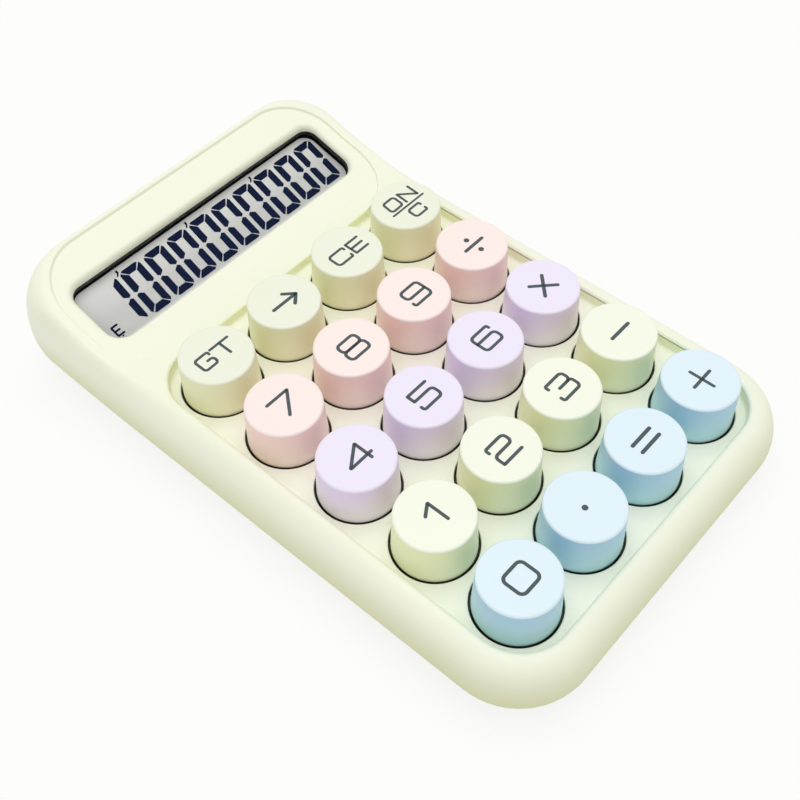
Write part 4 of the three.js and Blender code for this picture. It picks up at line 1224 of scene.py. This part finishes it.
screw_places = [(-19, -28.5), (19, -28.5), (-32.92, 54.56), (32.92, 54.56)]
PAD_RADIUS, PAD_SUNK, PAD_TOP = 4.8, 1.0, -9.2
HEAD_BORE, HEAD_SEAT = 2.5, -10.4
THREAD_BORE, THREAD_LOW, THREAD_HIGH = 1.5, -11.5, -8.0
SOCKET_RADIUS, SOCKET_TOP = 4.3, 1.8
pads = [bar(PAD_RADIUS, base_bottom(y) + PAD_SUNK, PAD_TOP, x, y) for x, y in screw_places]
carve(lower, pads + [
    block(TUB_FRAME_HALF_WIDTH, DOOR_FRONT - WALL, BODY_REAR - TRAY_INSET, FLOOR, TUB_FRAME_TOP),
    arch(TUB_RADIUS + TUB_WALL, DOOR_TOP, TUB_HALF_LENGTH + TUB_WALL)], "UNION")
bores = []
for x, y in screw_places:
    bores += [bar(HEAD_BORE, base_bottom(y) - OVERRUN, HEAD_SEAT, x, y),
              bar(THREAD_BORE, THREAD_LOW, THREAD_HIGH, x, y)]
foot_places = [(x, y) for y in (FRONT_FOOT_Y, REAR_FOOT_Y) for x in (-FOOT_X, FOOT_X)]
sockets = [bar(SOCKET_RADIUS, 0.0, SOCKET_TOP, x, y, LEVEL) for x, y in foot_places]
tub = arch(TUB_RADIUS, 0.0, TUB_HALF_LENGTH)
carve(lower, bores + sockets + [tub] + door_blocks(DOOR_GAP))


def adopt(piece, finish, body="case", stands_for=None):
    """Makes a carved object a finished piece."""
    bm = bmesh.new()
    bm.from_mesh(piece.data)
    name, old = piece.name, piece.data
    bpy.data.objects.remove(piece)
    bpy.data.meshes.remove(old)
    merge(bm)
    close_holes(bm)
    make_piece(bm, name, DECK, finish, body, stands_for)


adopt(lower, HOUSING, stands_for="lower_housing")

# %% Battery door
FORM_HEIGHT = 5.0
GRIP_HALF_WIDTH, GRIP_START, GRIP_END, GRIP_PITCH, GRIP_DEPTH = 6.9, 5.3, 6.5, 2.4, 1.45
form = bmesh.new()
loft(form, base_rows(FORM_HEIGHT))
merge(form)
fill_level(form, base_bottom)
fill_level(form, lambda y: base_bottom(y) + FORM_HEIGHT)
form_piece = loose_piece(form, "cutter")
door, flange = door_blocks(0.0)
door.name = "door_battery"
carve(door, [flange], "UNION")
carve(door, [form_piece], "INTERSECT")
carve(door, [block(GRIP_HALF_WIDTH, DOOR_FRONT + GRIP_START + GRIP_PITCH * groove,
                   DOOR_FRONT + GRIP_END + GRIP_PITCH * groove, 0.0, GRIP_DEPTH)
             for groove in range(3)])
adopt(door, HOUSING, body="door", stands_for="battery_door")

# %% [markdown]
# ## Rubber keypad
# Below the keys lies one moulding of soft rubber. It is made here as a sheet with a separate
# hollow dome for each key, because each dome has to fold when its own key goes down.

# %% Keypad sheet and domes
SHEET_TOP, SHEET_BOTTOM = -6.4, -7.3
SHEET_HALF_WIDTH, SHEET_HALF_LENGTH, SHEET_CORNER = 37.8, 47.5, 8.0
BOSS_HOLE, DOME_HOLE = 2.7, 4.2
DOME_HEIGHT, DOME_SKIN, DOME_TOP, DOME_BASE = 2.8, 0.8, 2.6, 5.0
DOME_INSIDE = DOME_HEIGHT - DOME_SKIN
DOME_FLAT_INSET, DOME_EDGE_INSET, DOME_EDGE_DROP = 0.3, 0.08, 0.1
boss_places = [(-19, -28.5), (19, -28.5), (-19, 28.5), (0, 28.5), (19, 28.5),
               (-19, -9.5), (0, -28.5), (19, -9.5)]
dome_profile = [
    (0, DOME_HEIGHT), (DOME_TOP - DOME_FLAT_INSET, DOME_HEIGHT),
    (DOME_TOP - DOME_EDGE_INSET, DOME_HEIGHT - DOME_EDGE_DROP), (DOME_BASE, 0),
    (DOME_HOLE, 0), (DOME_TOP - DOME_SKIN, DOME_INSIDE), (0, DOME_INSIDE)]
sheet = bmesh.new()
plate(sheet, rounded_outline(SHEET_HALF_WIDTH, -SHEET_HALF_LENGTH, SHEET_HALF_LENGTH,
                             SHEET_CORNER, SHEET_CORNER), SHEET_BOTTOM, SHEET_TOP)
sheet_piece = loose_piece(sheet, "keypad_sheet")
carve(sheet_piece, [bar(radius, SHEET_BOTTOM - OVERRUN, SHEET_TOP + OVERRUN, x, y)
                    for radius, places in ((BOSS_HOLE, boss_places), (DOME_HOLE, key_places))
                    for x, y in places])
adopt(sheet_piece, KEYPAD_RUBBER, stands_for="rubber_keypad")

for name, (x, y) in zip(KEY_NAMES, key_places):
    dome = bmesh.new()
    turned(dome, dome_profile, steps=32)
    foot_of_dome = DECK @ Matrix.Translation((x, y, SHEET_TOP))
    piece = make_piece(dome, "dome_" + name, foot_of_dome, KEYPAD_RUBBER,
                       stands_for="rubber_keypad")
    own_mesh(piece)

# %% [markdown]
# ## Feet and battery cell
# The feet are small turned pads in their sockets, and the cell lies in its tub behind the door.
# The screws, the contacts and the board keep their CAD shape and only get a finish.

# %% Turned feet, and the cell in its tub
FOOT_FLAT, FOOT_EDGE, FOOT_EDGE_STEPS, FOOT_HEIGHT = 3.6, 0.4, 5, 1.7
foot_edge = [(FOOT_FLAT + FOOT_EDGE * s, FOOT_EDGE * (1 - c)) for s, c in quarter(FOOT_EDGE_STEPS)]
foot_profile = [(0, 0), *foot_edge, (FOOT_FLAT + FOOT_EDGE, FOOT_HEIGHT), (0, FOOT_HEIGHT)]
for index, (x, y) in enumerate(foot_places, 1):
    foot = bmesh.new()
    turned(foot, foot_profile, steps=64)
    make_piece(foot, "foot_%d" % index, BASE @ Matrix.Translation((x, y, 0)), FOOT_RUBBER,
               stands_for="rubber_foot_%d" % index)

SPRING_LENGTH = 4.6
CELL_START = -TUB_HALF_LENGTH + CELL_PLAY + SPRING_LENGTH
CELL_PROFILE = [(0, 0), (3.9, 0), (4.9, 0.25), (5.15, 0.6), (CELL_RADIUS, 0.9),
                (CELL_RADIUS, 42.4), (5.1, 42.9), (4.7, 43.2), (1.9, 43.3), (1.9, 44.3),
                (1.7, 44.5), (0, 44.5)]
cell = bmesh.new()
turned(cell, CELL_PROFILE, steps=64)
cell_place = BASE @ Matrix.Translation((CELL_START, CELL_Y, CELL_HEIGHT))
make_piece(cell, "cell", cell_place @ Matrix.Rotation(math.pi / 2, 4, "Y"), JACKET,
           stands_for="battery_cell")

# %% Finishes of the pieces that keep their CAD shape
KEPT = {"circuit_board": BOARD, "controller_chip": RESIN, "display_cable": FILM,
        "display_window": WINDOW, "display_panel": DISPLAY_FACE,
        "battery_spring": NICKEL, "spring_contact": NICKEL, "plate_contact": NICKEL}
for node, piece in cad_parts.items():
    finish = KEPT.get(node, ZINC if "screw" in node else None)
    if finish:
        piece.data.materials.clear()
        piece.data.materials.append(finish)

# %% [markdown]
# ## Studio
# The photograph was taken from the front left, looking down by about fifty degrees. The floor is
# pale and the light is soft: an even sky, a lamp almost overhead and a weak one from the left.

# %% Camera
FOCAL_PIXELS, IMAGE_PIXELS, SENSOR = 1117.69, 800, 36.0
CAMERA_IN_DECK = (-109.46, -86.02, 178.97)
camera_data = bpy.data.cameras.new("camera")
camera_data.sensor_width = SENSOR
camera_data.lens = SENSOR * FOCAL_PIXELS / IMAGE_PIXELS
camera_data.clip_start = 0.01
camera = in_scene("camera", camera_data)
azimuth, elevation, roll = math.radians(-47.309), math.radians(52.325), -0.0273
back = Vector((math.sin(azimuth) * math.cos(elevation), -math.cos(azimuth) * math.cos(elevation),
               math.sin(elevation)))
right = (-back).cross(Vector((0, 0, 1))).normalized()
down = (-back).cross(right)
right, down = (right * math.cos(roll) - down * math.sin(roll),
               right * math.sin(roll) + down * math.cos(roll))
turn = Matrix((right, -down, back)).transposed().to_4x4()
place = DECK @ Matrix.Translation(CAMERA_IN_DECK) @ turn
camera.matrix_world = Matrix.Translation(place.translation * MM) @ place.to_3x3().to_4x4()
bpy.context.scene.camera = camera
print("camera at", [round(c, 4) for c in camera.matrix_world.translation])

# %% Floor, world and lamps
FLOOR_SIZE = 8
FLOOR_WHITE = 0.8
SKY_LIGHT = 0.68
WHITE = (1.0, 1.0, 1.0, 1.0)
LAMP_TARGET = Vector((0, 0, 0.01))
floor_bm = bmesh.new()
bmesh.ops.create_grid(floor_bm, x_segments=1, y_segments=1, size=FLOOR_SIZE)
floor = to_object(floor_bm, "floor")
floor_finish = Finish("floor", 0.9)
floor_finish.set("Base Color", floor_finish.blend(
    floor_finish.noise(scale=3), (0.9, 0.9, 0.89, 1.0), (0.92, 0.92, 0.91, 1.0)))
plain_white = floor_finish.node("ShaderNodeEmission", None, {"Color": WHITE, "Strength": 1.0})
shaded = Value(floor_finish.tree, floor_finish.shader.outputs[0])
mixed = floor_finish.node("ShaderNodeMixShader", None, {
    0: seen_rays(floor_finish.tree) * FLOOR_WHITE, 1: shaded, 2: plain_white})
feed(floor_finish.tree, floor_finish.tree.nodes["Material Output"].inputs["Surface"], mixed)
floor.data.materials.append(floor_finish.material)

world = bpy.data.worlds.new("studio")
bpy.context.scene.world = world
world.use_nodes = True
backdrop = world.node_tree.nodes["Background"]
backdrop.inputs["Color"].default_value = (1.0, 0.99, 0.965, 1.0)
feed(world.node_tree, backdrop.inputs["Strength"],
     seen_rays(world.node_tree) * (1.0 - SKY_LIGHT) + SKY_LIGHT)


def lamp(name, size, power, where):
    data = bpy.data.lights.new(name, "AREA")
    data.shape = "DISK"
    data.size = size
    data.energy = power
    aim = (LAMP_TARGET - Vector(where)).to_track_quat("-Z", "Y")
    in_scene(name, data).matrix_world = Matrix.Translation(where) @ aim.to_matrix().to_4x4()


lamp("softbox overhead", size=0.9, power=3.6, where=(0.1, 0.05, 1.0))
lamp("softbox left", size=0.7, power=0.3, where=(-0.6, 0.0, 0.75))

bpy.context.scene.view_settings.view_transform = "Standard"
